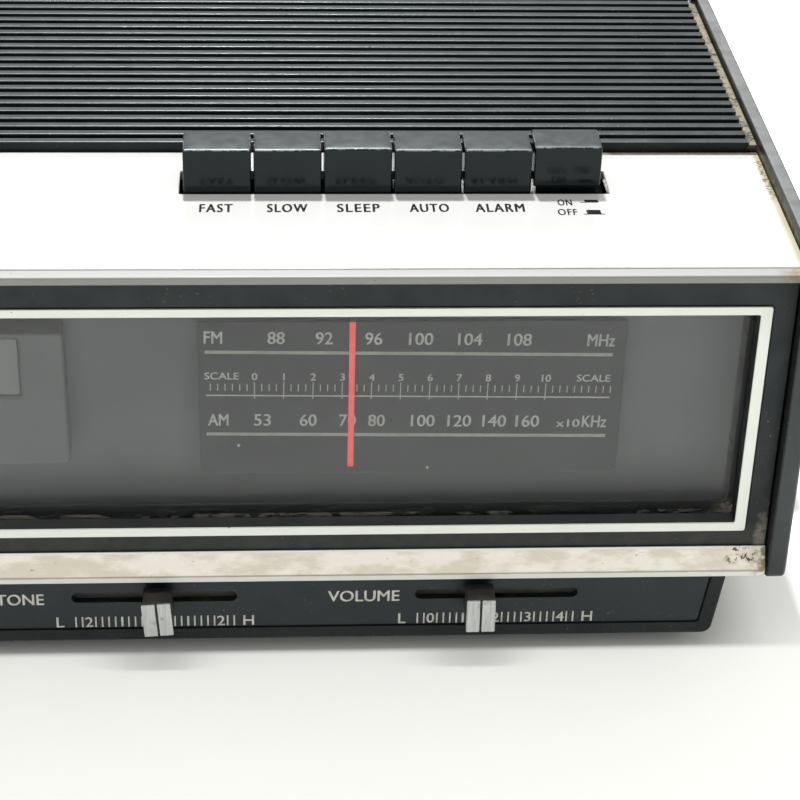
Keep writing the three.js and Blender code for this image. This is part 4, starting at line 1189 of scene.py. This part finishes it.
def make_rear():
    at = Extent("rear_cover")
    gland = Extent("cord_gland")
    plate_front = 146.8
    outlines = [rounded(at.front, 1.0)]
    for number in range(VENTS["count"]):
        x = VENTS["first"] + number * VENTS["pitch"]
        outlines.append(rounded(rectangle(x, VENTS["low"], x + VENTS["wide"], VENTS["high"]), 1.2))
    outlines.append(circle(gland.middle[0], gland.middle[2], 5.3, 32))
    for side in ("left", "right"):
        screw = Extent(f"rear_screw_{side}")
        outlines.append(circle(screw.middle[0], screw.middle[2], 1.8, 20))
    shape = sheet_shape(outlines, plate_front, at.y1, "y", 0.3)
    rod = Extent("ferrite_rod")
    for x in (rod.x0 + 6, rod.x1 - 10):
        loops = []
        middle = (rod.y0 + rod.y1) / 2, (rod.z0 + rod.z1) / 2
        clip = rectangle(middle[0] - 7, middle[1] - 6.5, plate_front + 0.3, middle[1] + 6.5)
        outer = rounded(clip, 0.8, 0, 11)
        hole = circle(*middle, (rod.z1 - rod.z0) / 2 + 0.3)
        for outline, at_x in ((outer, x), (outer, x + 3), (hole, x + 3), (hole, x)):
            loops.append([(at_x, a, b) for a, b in outline])
        shape.loft(loops, ring=True)
    make("back_cover", shape, "case", replaces=["rear_cover"])


def make_gland():
    at = Extent("cord_gland")
    x, _, z = at.middle
    length = at.y1 - at.y0
    bore, neck, flange = 3.0, 5.0, (at.x1 - at.x0) / 2
    profile = [
        (bore, 0), (neck, 0), (neck, length - 3), (flange - 0.3, length - 3), (flange, length - 2.7),
        (flange, length - 1.4), (flange - 0.5, length - 0.5), (flange - 1.5, length), (bore + 0.6, length),
        (bore, length - 0.6),
    ]
    shape = Shape().turned(profile, "y", (x, at.y0, z), ring=True)
    make("gland", shape, "rubber", replaces=["cord_gland"])


HEAD_UNDERSIDE = 149.5


def make_screws():
    """Pan-head screws with a straight slot."""
    for side in ("left", "right"):
        at = Extent(f"rear_screw_{side}")
        x, _, z = at.middle
        head = (at.z1 - at.z0) / 2
        under, top = HEAD_UNDERSIDE, at.y1
        shape = Shape()
        thread = [(AXIS, at.y0), (1.3, at.y0), (1.6, at.y0 + 0.6), (1.6, under + 0.2), (AXIS, under + 0.2)]
        shape.turned(thread, "y", (x, 0, z), 24)
        for sign in (-1, 1):
            half = []
            outline = [(head * math.cos(t), sign * max(0.4, head * math.sin(t))) for t in
                       [math.radians(7 + 166 * i / 20) for i in range(21)]]
            for scale, y in ((1, under), (1, top - 0.9), (0.93, top - 0.35), (0.75, top - 0.05), (0.5, top)):
                half.append([(x + a * scale, y, z + sign * max(0.4, abs(b) * scale)) for a, b in outline])
            shape.loft(half)
        slot_floor = top - 1.1
        disc = [(AXIS, under), (head - 0.3, under), (head - 0.3, slot_floor), (AXIS, slot_floor)]
        shape.turned(disc, "y", (x, 0, z), 40)
        make(f"{side}_back_screw", shape, "steel", replaces=[f"rear_screw_{side}"])


def make_tuning_knob():
    """A ribbed rim between two smooth bands, and a dished face."""
    at = Extent("tuning_knob")
    _, y, z = at.middle
    r, depth = (at.z1 - at.z0) / 2, at.x1 - at.x0
    ribs = 72
    segments = ribs * 4
    bore = 3.3

    rib = 0.5
    profile = [
        (bore, 0, 0), (r - 0.7, 0, 0), (r - 0.2, 0.3, 0), (r, 0.8, 0), (r, 1.4, 0), (r - 0.05, 1.5, rib),
        (r - 0.3, depth - 2.0, rib), (r - 0.3, depth - 1.8, 0), (r - 0.45, depth - 1.1, 0),
        (r - 1.0, depth - 0.4, 0), (r - 1.9, depth, 0), (r - 2.8, depth, 0), (r - 3.2, depth - 0.3, 0),
        (r - 4, depth - 0.55, 0), (r * 0.4, depth - 0.75, 0), (0.05, depth - 0.8, 0),
        (0.05, depth - 1.5, 0), (bore, depth - 1.5, 0),
    ]
    loops = []
    for radius, x, dip in profile:
        points = []
        for i in range(segments):
            turn = 2 * math.pi * i / segments
            ribbed = radius - dip * (0.5 - 0.5 * math.cos(ribs * turn))
            points.append((at.x0 + x, y + ribbed * math.cos(turn), z + ribbed * math.sin(turn)))
        loops.append(points)
    make("tuning_wheel", Shape().loft(loops, ring=True), "key", body="tuning_spindle",
         replaces=["tuning_knob"])


# ---------------------------------------------------------------- assembly

for side in ("left", "right"):
    make_cheek(side)
make_top_panel()
make_grille()
make_trims()
make_bezel()
make_window()
make_display()
make_dial()
make_pointer()
for key_name in KEY_NAMES:
    make_key(key_name)
make_legends()
make_tray()
make_plate()
for slider_name in SLIDER_MIDDLE:
    make_slider(slider_name)
make_feet()
make_rear()
make_gland()
make_screws()
make_tuning_knob()

# ---------------------------------------------------------------- floor and light

def make_floor():
    half = 4000
    corners = [(x, y, 0) for x, y in rectangle(-half, -half, half, half)]
    data = bpy.data.meshes.new("floor")
    data.from_pydata([place(p) for p in corners], [], [[0, 1, 2, 3]])
    floor = put("floor", data)
    f = Finish("floor_white", roughness=0.6, specular_ior_level=0.2)
    f.set("Base Color", f.blend(f.noise(60, 3), (0.93, 0.935, 0.89), (0.955, 0.96, 0.915)))
    data.materials.append(f.material)


def make_light(name, at, target, wide, deep, power):
    """A soft box of wide by deep metres, placed in the case frame and aimed at a case-frame point."""
    data = bpy.data.lights.new(name, "AREA")
    data.shape = "RECTANGLE"
    data.size = wide
    data.size_y = deep
    data.energy = power
    light = put(name, data)
    light.location = place(at)
    light.rotation_mode = "QUATERNION"
    light.rotation_quaternion = (place(target) - place(at)).to_track_quat("-Z", "Y")


SKY_STRENGTH = 0.68


def make_stage():
    """An even pale sky, a small key light behind and a strip of light overhead in front."""
    make_floor()
    world = bpy.data.worlds.new("studio")
    bpy.context.scene.world = world
    world.use_nodes = True
    sky = world.node_tree.nodes["Background"]
    sky.inputs["Color"].default_value = (1, 1, 1, 1)
    sky.inputs["Strength"].default_value = SKY_STRENGTH
    make_light("soft_box_behind", (10, 575, 1174), (0, 40, 100), 0.08, 0.08, 32)
    make_light("strip_overhead", (150, -280, 1400), (150, -40, 60), 2.0, 0.12, 13.5)
    bpy.context.scene.view_settings.view_transform = "Standard"


make_stage()
